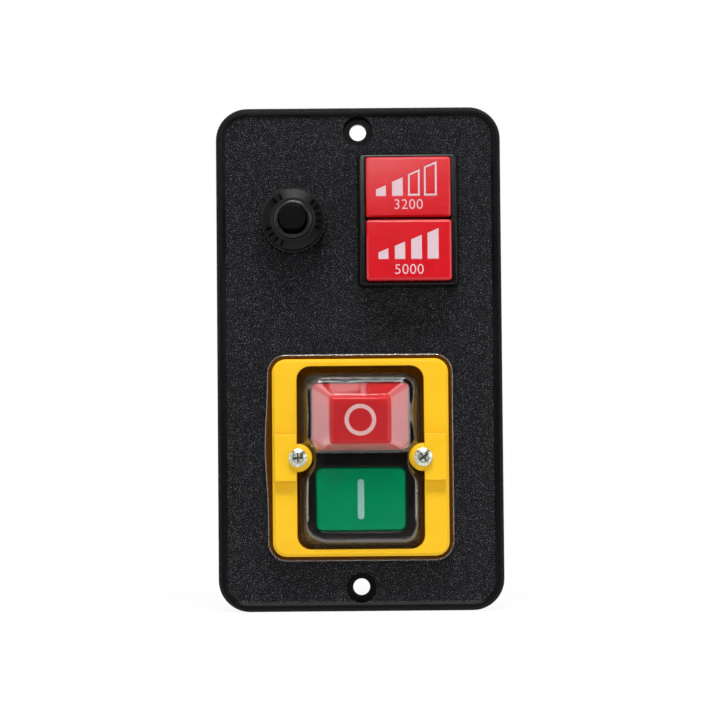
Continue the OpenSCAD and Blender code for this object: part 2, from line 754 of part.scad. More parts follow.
// Yellow frame with its window, screw blocks and round ears
module yellow_frame() {
    block_w = frame_w / 2 - frame_bevel - window_w / 2;
    ear_slope = ear_d / 2 - frame_head_d / 2 - 0.3;
    color([0.99, 0.74, 0.13]) at_switch() difference() {
        union() {
            difference() {
                bevel_slab(frame_w, frame_h, frame_corner_r, frame_z, frame_front_z, frame_bevel);
                slab(window_w, window_h, window_corner_r, frame_z - cut, frame_front_z + cut);
            }
            for (s = [-1, 1]) {
                translate([s * (window_w + block_w) / 2, 0, 0])
                    block(block_w, block_h, frame_z, block_front_z);
                translate([s * screw_x, 0, 0]) {
                    rod(ear_d / 2, frame_z, block_front_z - ear_slope);
                    translate([0, 0, block_front_z - ear_slope])
                        cylinder(h = ear_slope, r1 = ear_d / 2, r2 = ear_d / 2 - ear_slope);
                }
            }
        }
        for (s = [-1, 1]) translate([s * screw_x, 0, 0])
            rod(frame_screw_d / 2 + fit_gap, frame_z - cut, block_front_z + cut);
    }
}

module frame_screw(side) {
    at_switch() translate([side * screw_x, 0, 0]) rotate(20 + side * 15)
        cross_screw(frame_screw_d, frame_head_d, frame_head_t, block_front_z, screw_end_z + 0.5);
}

module frame_screw_left() { color([0.78, 0.78, 0.75]) frame_screw(-1); }

module frame_screw_right() { color([0.78, 0.78, 0.75]) frame_screw(1); }

// Stem of a button, with the reduced neck that carries what is below it
module button_stem(roof_z) {
    rod(stem_d / 2, stem_end_z + stem_neck_h, roof_z);
    rod(stem_neck_r, stem_end_z, stem_end_z + stem_neck_h + join);
}

// Stop button: hollow cap, sloping sides, flat top and stem
module stop_button() {
    roof_z = stop_shoulder_z - cap_wall;
    inner_w = stop_w - 2 * cap_wall;
    inner_h = stop_h - 2 * cap_wall;
    color([0.82, 0.13, 0.15]) at_switch() translate([0, stop_y, 0]) difference() {
        union() {
            difference() {
                translate([0, 0, stop_skirt_z]) linear_extrude(stop_shoulder_z - stop_skirt_z)
                    corner_rect(stop_w, stop_h, stop_low_corner_r, stop_corner_r);
                translate([0, 0, stop_skirt_z - cut]) linear_extrude(roof_z - stop_skirt_z + cut)
                    corner_rect(inner_w, inner_h, stop_low_corner_r - cap_wall, 0.4);
            }
            intersection() {
                hip_block(stop_w, stop_h, stop_top_w, stop_top_h, stop_top_drop,
                          stop_shoulder_z - 0.01, stop_top_z);
                translate([0, 0, stop_skirt_z]) linear_extrude(stop_top_z)
                    corner_rect(stop_w, stop_h, stop_low_corner_r, stop_corner_r);
            }
            button_stem(roof_z + join);
        }
        translate([0, -stop_top_drop, stop_top_z - mark_depth]) linear_extrude(mark_depth + cut)
            ring_mark();
    }
}

module ring_mark() {
    difference() {
        circle(ring_mark_d / 2);
        circle(ring_mark_d / 2 - mark_line);
    }
}

// Printed ring on the stop button
module stop_mark() {
    color([0.93, 0.9, 0.9]) at_switch() translate([0, stop_y - stop_top_drop, stop_top_z - mark_depth])
        linear_extrude(mark_depth + mark_proud) ring_mark();
}

// Washer that keeps a stem in its guide
module retainer(y) {
    at_switch() translate([0, y, 0]) difference() {
        rod(stem_d / 2 + retainer_rim, retainer_z, retainer_z + retainer_t);
        rod(stem_d / 2, retainer_z - cut, retainer_z + retainer_t + cut);
    }
}

module stop_retainer() { color([0.6, 0.6, 0.58]) retainer(stop_y); }

module start_retainer() { color([0.6, 0.6, 0.58]) retainer(-start_drop); }

module stop_spring() {
    color([0.7, 0.7, 0.7]) at_switch() translate([0, stop_y, 0])
        coil_spring(spring_r, spring_wire, 6, well_floor_z, stop_shoulder_z - cap_wall);
}

module start_spring() {
    color([0.7, 0.7, 0.7]) at_switch() translate([0, -start_drop, 0])
        coil_spring(spring_r, spring_wire, 5, well_floor_z, start_face_z - cap_wall);
}

// Contact bridge on the stop button's stem, with a tip at each end
module stop_bridge() {
    color([0.8, 0.55, 0.3]) at_switch() translate([0, stop_y, 0]) difference() {
        union() {
            block(2 * contact_x + contact_w, contact_w, stop_bridge_z, stop_bridge_z + stop_bridge_t);
            rod(bridge_hub_r, stop_bridge_z, stop_bridge_z + stop_bridge_t);
            for (s = [-1, 1]) translate([s * contact_x, 0, 0])
                rod(tip_d / 2, stop_bridge_z, stop_bridge_z + stop_bridge_t + stop_contact_tip);
        }
        rod(stem_neck_r, stop_bridge_z - cut, stop_bridge_z + stop_bridge_t + cut);
    }
}

// Fixed contact of the stop circuit: a strip in front of the bridge's tip and its blade
module stop_terminal(side) {
    strip_x = contact_x - tip_d / 2;
    at_switch() {
        translate([side * (strip_x + stop_blade_x + blade_t / 2) / 2, stop_y, 0])
            block(stop_blade_x + blade_t / 2 - strip_x, contact_w, stop_strip_z, stop_strip_z + head_t);
        translate([side * stop_blade_x, stop_blade_y, 0]) blade(blade_end_z, stop_strip_z + head_t);
    }
}

module stop_terminal_left() { color([0.8, 0.6, 0.3]) stop_terminal(-1); }

module stop_terminal_right() { color([0.8, 0.6, 0.3]) stop_terminal(1); }

// Start button: hollow cap and stem
module start_button() {
    roof_z = start_face_z - cap_wall;
    color([0.02, 0.5, 0.33]) at_switch() translate([0, -start_drop, 0]) difference() {
        union() {
            difference() {
                bevel_slab(start_w, start_h, start_corner_r, start_skirt_z, start_face_z, start_bevel);
                slab(start_w - 2 * cap_wall, start_h - 2 * cap_wall, 0.8, start_skirt_z - cut, roof_z);
            }
            button_stem(roof_z + join);
        }
        translate([0, 0, start_face_z - mark_depth]) linear_extrude(mark_depth + cut) bar_mark();
    }
}

module bar_mark() { round_rect(bar_mark_w, bar_mark_h, bar_mark_w * 0.45); }

// Printed bar on the start button
module start_mark() {
    color([0.56, 0.76, 0.69]) at_switch() translate([0, -start_drop, start_face_z - mark_depth])
        linear_extrude(mark_depth + mark_proud) bar_mark();
}

// Contact carrier: cross bar over the armature, with an arm under the start button's stem
module contact_carrier() {
    arm_end = chamber_h / 2 - fit_gap - touch_gap;
    color([0.55, 0.5, 0.42]) at_switch() {
        block(armature_w, carrier_h, carrier_back_z, carrier_front_z);
        block(carrier_w, 2 * contact_y + tip_d, carrier_back_z, carrier_front_z);
        translate([0, -arm_end / 2, 0])
            block(carrier_arm_w, arm_end, carrier_back_z, carrier_front_z);
    }
}

module armature() {
    color([0.45, 0.45, 0.47]) at_switch()
        block(armature_w, armature_h, armature_back_z, carrier_back_z);
}

// Moving contact: a bar along one side of the carrier with a tip at each end
module moving_contact(side) {
    at_switch() translate([side * contact_x, 0, 0]) {
        block(contact_w - 0.2, 2 * contact_y + tip_d, carrier_back_z - bridge_t, carrier_back_z);
        for (y = [-1, 1]) translate([0, y * contact_y, 0])
            rod(tip_d / 2, carrier_back_z - bridge_t - tip_t, carrier_back_z - bridge_t + join);
    }
}

module moving_contact_left() { color([0.8, 0.55, 0.3]) moving_contact(-1); }

module moving_contact_right() { color([0.8, 0.55, 0.3]) moving_contact(1); }

module carrier_spring(side) {
    at_switch() translate([0, side * carrier_spring_y, 0])
        coil_spring(carrier_spring_r, carrier_spring_wire, 5, bobbin_front_z, carrier_back_z);
}

module carrier_spring_upper() { color([0.7, 0.7, 0.7]) carrier_spring(1); }

module carrier_spring_lower() { color([0.7, 0.7, 0.7]) carrier_spring(-1); }

// Laminated magnet core in the shape of an E, its three legs facing the armature
module magnet_core() {
    leg_x = (armature_w - core_leg) / 2;
    color([0.4, 0.4, 0.42]) at_switch() {
        block(armature_w, armature_h, base_z, base_z + core_yoke_t);
        block(core_middle_leg, armature_h, base_z, core_front_z);
        for (s = [-1, 1]) translate([s * leg_x, 0, 0]) block(core_leg, armature_h, base_z, core_front_z);
    }
}

// Bobbin round the core's middle leg
module coil_bobbin() {
    inner_w = core_middle_leg + 2 * fit_gap;
    inner_h = armature_h + 2 * fit_gap;
    color([0.85, 0.83, 0.78]) at_switch() difference() {
        union() {
            block(inner_w + 2 * bobbin_t, inner_h + 2 * bobbin_t, bobbin_back_z, bobbin_front_z);
            block(bobbin_w, bobbin_h, bobbin_front_z - bobbin_t, bobbin_front_z);
            block(bobbin_w, bobbin_h, bobbin_back_z, bobbin_back_z + bobbin_t);
        }
        block(inner_w, inner_h, bobbin_back_z - cut, bobbin_front_z + cut);
    }
}

module coil_winding() {
    inner_w = core_middle_leg + 2 * (fit_gap + bobbin_t);
    inner_h = armature_h + 2 * (fit_gap + bobbin_t);
    wound_z = bobbin_back_z + bobbin_t;
    color([0.72, 0.38, 0.16]) at_switch() difference() {
        slab(bobbin_w - 0.6, bobbin_h - 1.2, 1, wound_z, bobbin_front_z - bobbin_t);
        block(inner_w, inner_h, wound_z - cut, bobbin_front_z);
    }
}

// Main terminal: fixed contact tip, bent head and blade
module main_terminal(x, y) {
    head_z = fixed_tip_z - tip_t;
    head_x = contact_x - contact_w / 2;
    at_switch() {
        translate([x * contact_x, y * contact_y, 0]) rod(tip_d / 2, head_z - join, fixed_tip_z);
        translate([x * (head_x + main_blade_x + blade_t / 2) / 2, y * contact_y, 0])
            block(main_blade_x + blade_t / 2 - head_x, blade_w, head_z - head_t, head_z);
        translate([x * main_blade_x, y * contact_y, 0]) blade(blade_end_z, head_z);
    }
}

module main_terminal_1() { color([0.8, 0.6, 0.3]) main_terminal(-1, 1); }

module main_terminal_2() { color([0.8, 0.6, 0.3]) main_terminal(1, 1); }

module main_terminal_3() { color([0.8, 0.6, 0.3]) main_terminal(-1, -1); }

module main_terminal_4() { color([0.8, 0.6, 0.3]) main_terminal(1, -1); }

// Selector body: bezel and flange in front of the plate, chamber and pin cheeks behind
module selector_case() {
    cheek_x = rocker_w / 2 + touch_gap + cheek_t / 2;
    color([0.07, 0.07, 0.075]) at_selector() difference() {
        union() {
            tapered_slab(selector_w + 2 * bezel_flange, selector_h + 2 * bezel_flange,
                         bezel_corner_r, field_z, bezel_front_z, bezel_flange,
                         bezel_rise - bezel_foot);
            difference() {
                slab(selector_w, selector_h, 1, selector_base_z, field_z + join);
                block(selector_w - 2 * selector_wall, selector_h - 2 * selector_wall,
                      selector_base_z - cut, selector_chamber_z);
            }
            for (s = [-1, 1]) translate([s * cheek_x, 0, 0]) {
                block(cheek_t, 2 * cheek_r, rocker_z, selector_chamber_z + join);
                translate([0, 0, rocker_z]) rotate([0, 90, 0])
                    cylinder(h = cheek_t, r = cheek_r, center = true);
            }
            snap_barbs(selector_h);
        }
        block(key_well_w, key_well_h, key_floor_z, bezel_front_z + cut);
        for (s = [-1, 1]) translate([0, s * key_pitch / 2, 0])
            rod(key_stem_d / 2 + stem_gap, selector_chamber_z - cut, key_floor_z + cut);
        translate([0, 0, rocker_z]) rotate([0, 90, 0])
            cylinder(h = selector_w - 2 * selector_wall, r = pin_d / 2, center = true);
    }
}

// Cover of the selector body
module selector_base() {
    lip_w = selector_w - 2 * selector_wall - 2 * fit_gap;
    lip_h = selector_h - 2 * selector_wall - 2 * fit_gap;
    color([0.12, 0.12, 0.125]) at_selector() difference() {
        union() {
            slab(selector_w, selector_h, 1, selector_base_z - selector_base_t, selector_base_z);
            difference() {
                block(lip_w, lip_h, selector_base_z - join, selector_base_z + base_lip_h);
                block(lip_w - 2 * base_lip_t, lip_h - 2 * base_lip_t,
                      selector_base_z, selector_base_z + base_lip_h + cut);
            }
        }
        for (y = [-1, 0, 1]) translate([0, y * selector_blade_y, 0]) rotate(90)
            blade_slot(selector_base_z - selector_base_t, selector_base_z);
    }
}

// Trapezium that is one bar of a printed row; inset shrinks it on every side
module speed_bar(i, row, inset) {
    w = bar_first_w + row[2] * i;
    x = row[0] + (i - (bar_count - 1) / 2) * bar_pitch - w / 2;
    low = bar_first_h + row[1] * i;
    slant = bar_slope * inset;
    polygon([
        [x + inset, bar_foot_y + inset],
        [x + w - inset, bar_foot_y + inset],
        [x + w - inset, bar_foot_y + low + bar_slope * w - slant - inset],
        [x + inset, bar_foot_y + low + slant - inset],
    ]);
}

// Row of bars rising by a step each, the first ones filled and the rest drawn as outlines
module speed_bars(filled, row) {
    for (i = [0:bar_count - 1]) difference() {
        speed_bar(i, row, 0);
        if (i >= filled) speed_bar(i, row, bar_outline);
    }
}

// Speed button: side is 1 for the upper and -1 for the lower one, out is how far it stands out
module speed_key(side, out, filled, row) {
    front = key_front_z + out;
    roof = front - cap_wall;
    toe = key_toe_z + out;
    at_selector() translate([0, side * key_pitch / 2, 0]) difference() {
        union() {
            difference() {
                bevel_slab(key_w, key_h, 0.9, front - key_cap_h, front, key_bevel);
                block(key_w - 2 * cap_wall, key_h - 2 * cap_wall, front - key_cap_h - cut, roof);
            }
            rod(key_stem_d / 2, toe + key_toe_h, roof + join);
            translate([0, 0, toe]) cylinder(h = key_toe_h, r1 = key_toe_r, r2 = key_stem_d / 2);
        }
        translate([0, 0, front - mark_depth]) linear_extrude(mark_depth + cut)
            speed_bars(filled, row);
    }
}

module key_marks(side, out, filled, row) {
    at_selector() translate([0, side * key_pitch / 2, key_front_z + out - mark_depth])
        linear_extrude(mark_depth + mark_proud) speed_bars(filled, row);
}

// Upper speed button, shown pressed in
module low_speed_button() { color([0.85, 0.14, 0.17]) speed_key(1, 0, 2, upper_row); }

module low_speed_marks() { color([0.95, 0.9, 0.9]) key_marks(1, 0, 2, upper_row); }

// Lower speed button, shown standing out
module high_speed_button() { color([0.85, 0.14, 0.17]) speed_key(-1, key_travel, 4, lower_row); }

module high_speed_marks() { color([0.95, 0.9, 0.9]) key_marks(-1, key_travel, 4, lower_row); }

// Places what turns on the rocker's pin, tilted as the pressed upper button leaves it
module on_rocker() {
    at_selector() translate([0, 0, rocker_z]) rotate([-rocker_tilt, 0, 0]) children();
}

// Rocker that pushes one button out as the other goes in
module selector_rocker() {
    color([0.8, 0.8, 0.76]) on_rocker() difference() {
        rotate([90, 0, 90]) translate([0, 0, -rocker_w / 2]) linear_extrude(rocker_w) {
            circle(rocker_hub_r);
            for (s = [-1, 1]) translate([s * rocker_arm, 0]) circle(rocker_tip_r);
            polygon([
                [-rocker_arm, -rocker_tip_r], [-rocker_hub_r, -rocker_hub_r],
                [rocker_hub_r, -rocker_hub_r], [rocker_arm, -rocker_tip_r],
                [rocker_arm, rocker_tip_r], [-rocker_arm, rocker_tip_r],
            ]);
        }
        rotate([0, 90, 0]) cylinder(h = rocker_w + 2, r = pin_d / 2 + stem_gap, center = true);
    }
}

module rocker_pin() {
    color([0.7, 0.7, 0.7]) at_selector() translate([0, 0, rocker_z]) rotate([0, 90, 0])
        cylinder(h = rocker_w + 2 * (touch_gap + cheek_t), r = pin_d / 2, center = true);
}

module rocker_contact() {
    color([0.8, 0.55, 0.3]) on_rocker()
        block(rocker_contact_w, 2 * rocker_contact_y, -rocker_contact_z, -rocker_hub_r);
}

// Fixed contact under one end of the rocker's contact, bent out to its blade
module selector_side_terminal(side) {
    head_y = rocker_contact_y - 1.5;
    out_y = selector_blade_y + blade_t / 2;
    at_selector() {
        translate([0, side * (head_y + out_y) / 2, 0])
            block(rocker_contact_w, out_y - head_y, selector_tip_z - head_t, selector_tip_z);
        translate([0, side * selector_blade_y, 0]) rotate(90)
            blade(selector_blade_end_z, selector_tip_z);
    }
}

module selector_terminal_low() { color([0.8, 0.6, 0.3]) selector_side_terminal(1); }

module selector_terminal_high() { color([0.8, 0.6, 0.3]) selector_side_terminal(-1); }

// Common terminal, under the middle of the rocker's contact
module selector_terminal_common() {
    top = rocker_z - rocker_contact_z / cos(rocker_tilt) - blade_t / 2 * tan(rocker_tilt) - touch_gap;
    color([0.8, 0.6, 0.3]) at_selector() rotate(90) blade(selector_blade_end_z, top);
}

// Breaker body with its threaded neck in one moulding
module breaker_case() {
    color([0.08, 0.08, 0.085]) at_breaker() difference() {
        union() {
            block(breaker_w, breaker_h, breaker_cover_z, wall_z);
            rod(neck_d / 2, wall_z - join, neck_front_z - neck_chamfer);
            translate([0, 0, neck_front_z - neck_chamfer])
                cylinder(h = neck_chamfer, r1 = neck_d / 2, r2 = neck_d / 2 - neck_chamfer);
        }
        block(breaker_w - 2 * breaker_wall, breaker_h - 2 * breaker_wall,
              breaker_cover_z - cut, breaker_chamber_z);
        rod(neck_bore_d / 2, neck_floor_z, neck_front_z + cut);
        rod(plunger_r + stem_gap, breaker_chamber_z - cut, neck_floor_z + cut);
    }
}

// Cover of the breaker body
module breaker_cover() {
    lip_w = breaker_w - 2 * breaker_wall - 2 * fit_gap;
    lip_h = breaker_h - 2 * breaker_wall - 2 * fit_gap;
    color([0.14, 0.14, 0.145]) at_breaker() difference() {
        union() {
            block(breaker_w, breaker_h, breaker_cover_z - breaker_cover_t, breaker_cover_z);
            block(lip_w, lip_h, breaker_cover_z - join, breaker_cover_z + base_lip_h);
        }
        for (y = [-1, 1]) translate([0, y * breaker_blade_y, 0]) rotate(90)
            blade_slot(breaker_cover_z - breaker_cover_t, breaker_cover_z + base_lip_h);
    }
}

// Nut on the breaker's neck: a knurled skirt, and a smooth disc with a sloping face in front
module reset_nut() {
    color([0.09, 0.09, 0.095]) at_breaker() difference() {
        union() {
            rod(nut_d / 2, field_z, nut_grip_z);
            translate([0, 0, nut_grip_z - join])
                cylinder(h = nut_rim_z - nut_grip_z + join, r1 = nut_rim_r + nut_rim_flare, r2 = nut_rim_r);
            translate([0, 0, nut_rim_z])
                cylinder(h = nut_front_z - nut_rim_z, r1 = nut_rim_r, r2 = nut_ring_r - 0.2);
            rod(nut_ring_r, field_z, nut_front_z + nut_ring_rise);
        }
        rod(neck_d / 2 + thread_gap, field_z - cut, nut_front_z + nut_ring_rise + cut);
        for (i = [0:nut_notches - 1]) rotate(i * 360 / nut_notches)
            translate([notch_x, 0, 0]) rod(notch_r, field_z - cut, nut_grip_z + cut);
    }
}

// Reset button: head with one flat side, and the plunger behind it
module reset_button() {
    r = reset_d / 2;
    barb_z = breaker_chamber_z - touch_gap;
    color([0.07, 0.07, 0.075]) at_breaker() {
        difference() {
            union() {
                rod(r, reset_head_z, reset_front_z - reset_bevel);
                translate([0, 0, reset_front_z - reset_bevel])
                    cylinder(h = reset_bevel, r1 = r, r2 = r - reset_bevel);
            }
            translate([0, -2 * r + reset_flat, 0])
                block(2 * r + 1, 2 * r, reset_front_z - reset_rise, reset_front_z + cut);
        }
        rod(plunger_r, plunger_end_z, reset_head_z + join);
        translate([0, 0, barb_z - plunger_barb_h])
            cylinder(h = plunger_barb_h, r1 = plunger_r, r2 = plunger_barb_r);
    }
}

module reset_spring() {
    color([0.7, 0.7, 0.7]) at_breaker()
        coil_spring(plunger_r + 0.8, 0.6, 6, neck_floor_z, reset_head_z);
}

// Bimetal strip, bowed towards the plunger, with its rivet and its contact tip
module bimetal_strip() {
    color([0.72, 0.68, 0.6]) at_breaker() {
        translate([0, 0, bimetal_crown_z - bimetal_bend_r]) rotate([0, 90, 0]) intersection() {
            difference() {
                cylinder(h = bimetal_w, r = bimetal_bend_r, center = true, $fn = 96);
                cylinder(h = bimetal_w + 1, r = bimetal_bend_r - bimetal_t, center = true, $fn = 96);
            }
            translate([-2 * bimetal_bend_r, -bimetal_end_y, -bimetal_w])
                cube([2 * bimetal_bend_r, 2 * bimetal_end_y, 2 * bimetal_w]);
        }
        translate([0, breaker_blade_y, 0]) rod(rivet_r, bimetal_foot_z, bimetal_foot_z + rivet_r);
        translate([0, -breaker_blade_y, 0])
            rod(rivet_r, bimetal_foot_z - rivet_r / 2, bimetal_foot_z + rivet_r / 2);
    }
}

// Breaker terminal whose head ends at the height top
module breaker_terminal(side, top) {
    at_breaker() translate([0, side * breaker_blade_y, 0]) {
        rotate(90) blade(breaker_blade_end_z, top);
        block(blade_w, breaker_head_w, top - head_t, top);
    }
}

module breaker_terminal_line() { color([0.8, 0.6, 0.3]) breaker_terminal(1, bimetal_foot_z); }

module breaker_terminal_load() {
    color([0.8, 0.6, 0.3]) breaker_terminal(-1, bimetal_foot_z - rivet_r / 2 - touch_gap);
}

panel_plate();
switch_case();
switch_base();
base_screws();
clear_boot();
yellow_frame();
frame_screw_left();
frame_screw_right();
stop_button();
stop_mark();
stop_spring();
stop_retainer();
stop_bridge();
stop_terminal_left();
stop_terminal_right();
start_button();
start_mark();
start_spring();
start_retainer();
contact_carrier();
armature();
moving_contact_left();
moving_contact_right();
carrier_spring_upper();
carrier_spring_lower();
magnet_core();
coil_bobbin();
coil_winding();
main_terminal_1();
main_terminal_2();
main_terminal_3();
main_terminal_4();
selector_case();
selector_base();
low_speed_button();
low_speed_marks();
high_speed_button();
high_speed_marks();
selector_rocker();
rocker_pin();
rocker_contact();
selector_terminal_low();
selector_terminal_common();
selector_terminal_high();
breaker_case();
breaker_cover();
reset_nut();
reset_button();
reset_spring();
bimetal_strip();
breaker_terminal_line();
breaker_terminal_load();
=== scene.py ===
"""Looks of a machine control panel with a start and stop switch, a speed selector and a breaker.

Everything is in metres, in the panel's own frame: X is its width, Z its height, its front
faces -Y, and the origin lies between the mounting holes on the plane that seats on the machine.
A height out of the panel is measured from that plane towards the front.
"""

import bisect
import json
import logging
import math
from dataclasses import dataclass
from enum import Enum
from functools import cached_property
from typing import Protocol

import bmesh
import bpy
from mathutils import Matrix, Vector

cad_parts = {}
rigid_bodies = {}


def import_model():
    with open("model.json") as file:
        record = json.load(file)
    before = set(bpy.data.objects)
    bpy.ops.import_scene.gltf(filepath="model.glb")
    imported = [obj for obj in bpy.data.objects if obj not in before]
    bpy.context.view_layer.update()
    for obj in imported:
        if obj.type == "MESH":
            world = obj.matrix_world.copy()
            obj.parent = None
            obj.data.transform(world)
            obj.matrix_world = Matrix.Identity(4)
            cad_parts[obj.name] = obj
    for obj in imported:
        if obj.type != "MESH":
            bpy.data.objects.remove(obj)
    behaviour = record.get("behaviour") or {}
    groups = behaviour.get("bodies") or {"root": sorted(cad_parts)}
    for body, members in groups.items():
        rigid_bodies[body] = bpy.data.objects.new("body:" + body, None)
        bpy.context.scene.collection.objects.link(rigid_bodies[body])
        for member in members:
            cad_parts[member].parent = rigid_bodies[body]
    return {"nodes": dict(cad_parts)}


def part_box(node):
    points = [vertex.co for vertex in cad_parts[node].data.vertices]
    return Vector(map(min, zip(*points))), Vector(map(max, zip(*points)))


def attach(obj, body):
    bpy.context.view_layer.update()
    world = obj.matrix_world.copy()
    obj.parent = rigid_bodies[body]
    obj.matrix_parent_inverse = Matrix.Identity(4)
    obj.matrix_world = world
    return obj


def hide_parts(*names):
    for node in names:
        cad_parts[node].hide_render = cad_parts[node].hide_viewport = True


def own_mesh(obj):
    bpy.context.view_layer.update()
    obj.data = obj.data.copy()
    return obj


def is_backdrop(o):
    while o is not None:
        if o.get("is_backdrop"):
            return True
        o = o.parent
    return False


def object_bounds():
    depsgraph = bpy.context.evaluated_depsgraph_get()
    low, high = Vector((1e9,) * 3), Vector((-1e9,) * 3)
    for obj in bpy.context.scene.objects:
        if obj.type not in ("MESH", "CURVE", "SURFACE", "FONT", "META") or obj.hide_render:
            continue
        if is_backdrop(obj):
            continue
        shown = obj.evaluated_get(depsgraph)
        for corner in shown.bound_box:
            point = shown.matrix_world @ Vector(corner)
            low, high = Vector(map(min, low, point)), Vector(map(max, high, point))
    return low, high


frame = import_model()

LOG = logging.getLogger("panel")
# The materials made so far, by their finish's name
MIXED: dict[str, bpy.types.Material] = {}

Flat = tuple[float, float]
Point = tuple[float, float, float]
Colour = tuple[float, float, float]
Ramp = tuple[Flat, Flat]
Socket = bpy.types.NodeSocket
Value = bpy.types.NodeSocket | float

WHITE = (1.0, 1.0, 1.0, 1.0)
UNIT: Flat = (0.0, 1.0)
# Where nearly all of a noise's values lie, and a narrower band for more contrast
FULL_BAND: Flat = (0.3, 0.7)
MID_BAND: Flat = (0.35, 0.65)
# Radians that the wave texture runs through in one metre at a scale of 1
WAVE_PHASE = 20.0
EDGE_SAMPLES = 6
# Decimals kept of a size read from the frame, which is a thousandth of a millimetre
DECIMALS = 6
# Keeps a divisor off zero
TINY = 1e-12


class Body(Enum):
    """The rigid bodies that an added piece rides on."""

    PANEL = "panel"
    LOW_KEY = "low_key"
    HIGH_KEY = "high_key"


class Travel(Enum):
    """The joints that would squash each spring; the script does not squash them."""

    STOP = "stop_press"
    START = "start_press"
    CARRIER = "carrier_slide"
    RESET = "reset_press"


class Axis(Enum):
    """The panel's axes, by their place in a vector."""

    X = 0
    Y = 1
    Z = 2


class Ray(Enum):
    """The kinds of ray that look at a surface."""

    CAMERA = "Is Camera Ray"
    MIRRORED = "Is Glossy Ray"
    THROUGH_GLASS = "Is Transmission Ray"


class Built(Protocol):
    """Anything that main builds."""

    def build(self) -> None:
        """Makes it."""


@dataclass(frozen=True)
class NodeBox:
    """Box of a CAD node at rest, to a thousandth of a millimetre."""

    low: Point
    high: Point

    @classmethod
    def of(cls, node: str) -> "NodeBox":
        """Measures a node."""
        return cls(*(tuple(round(v, DECIMALS) for v in corner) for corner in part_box(node)))

    @property
    def middle(self) -> Point:
        """Its middle."""
        return tuple(round((a + b) / 2, DECIMALS) for a, b in zip(self.low, self.high))

    @property
    def size(self) -> Point:
        """Its width, depth and height."""
        return tuple(round(b - a, DECIMALS) for a, b in zip(self.low, self.high))


@dataclass(frozen=True)
class Noise:
    """A noise: its cells per metre, the number of its finer layers and their strength."""

    scale: float
    detail: float = 2.0
    rough: float = 0.5


class NodeTree:
    """A node tree that is built up by short calls."""

    def __init__(self, tree: bpy.types.NodeTree) -> None:
        """Takes over a tree."""
        self.tree = tree

    def add(
        self, kind: str, inputs: dict[str | int, object] | None = None, **options: object
    ) -> bpy.types.Node:
        """Adds a node.

        Args:
            kind: The node's type.
            inputs: Its inputs by name or index, each a socket to link or a value.
            options: Its settings, by attribute.

        Returns:
            The new node.
        """
        node = self.tree.nodes.new(kind)
        for key, value in options.items():
            setattr(node, key, value)
        for key, value in (inputs or {}).items():
            if isinstance(value, Socket):
                self.tree.links.new(value, node.inputs[key])
            else:
                node.inputs[key].default_value = value
        return node

    def math(self, operation: str, *values: Value) -> Socket:
        """Adds a Math node and returns its result."""
        return self.add("ShaderNodeMath", dict(enumerate(values)), operation=operation).outputs[0]

    def plus(self, first: Value, second: Value) -> Socket:
        """Sum of two values."""
        return self.math("ADD", first, second)

    def minus(self, first: Value, second: Value) -> Socket:
        """Difference of two values."""
        return self.math("SUBTRACT", first, second)

    def times(self, first: Value, second: Value) -> Socket:
        """Product of two values."""
        return self.math("MULTIPLY", first, second)

    def over(self, first: Value, second: Value) -> Socket:
        """Quotient of two values."""
        return self.math("DIVIDE", first, second)

    def larger(self, first: Value, second: Value) -> Socket:
        """The larger of two values."""
        return self.math("MAXIMUM", first, second)

    def smaller(self, first: Value, second: Value) -> Socket:
        """The smaller of two values."""
        return self.math("MINIMUM", first, second)

    def split(self, vector: Socket) -> list[Socket]:
        """The three parts of a vector."""
        return list(self.add("ShaderNodeSeparateXYZ", {0: vector}).outputs)

    def join(self, x: Value = 0.0, y: Value = 0.0, z: Value = 0.0) -> Socket:
        """A vector of three parts."""
        return self.add("ShaderNodeCombineXYZ", {0: x, 1: y, 2: z}).outputs[0]


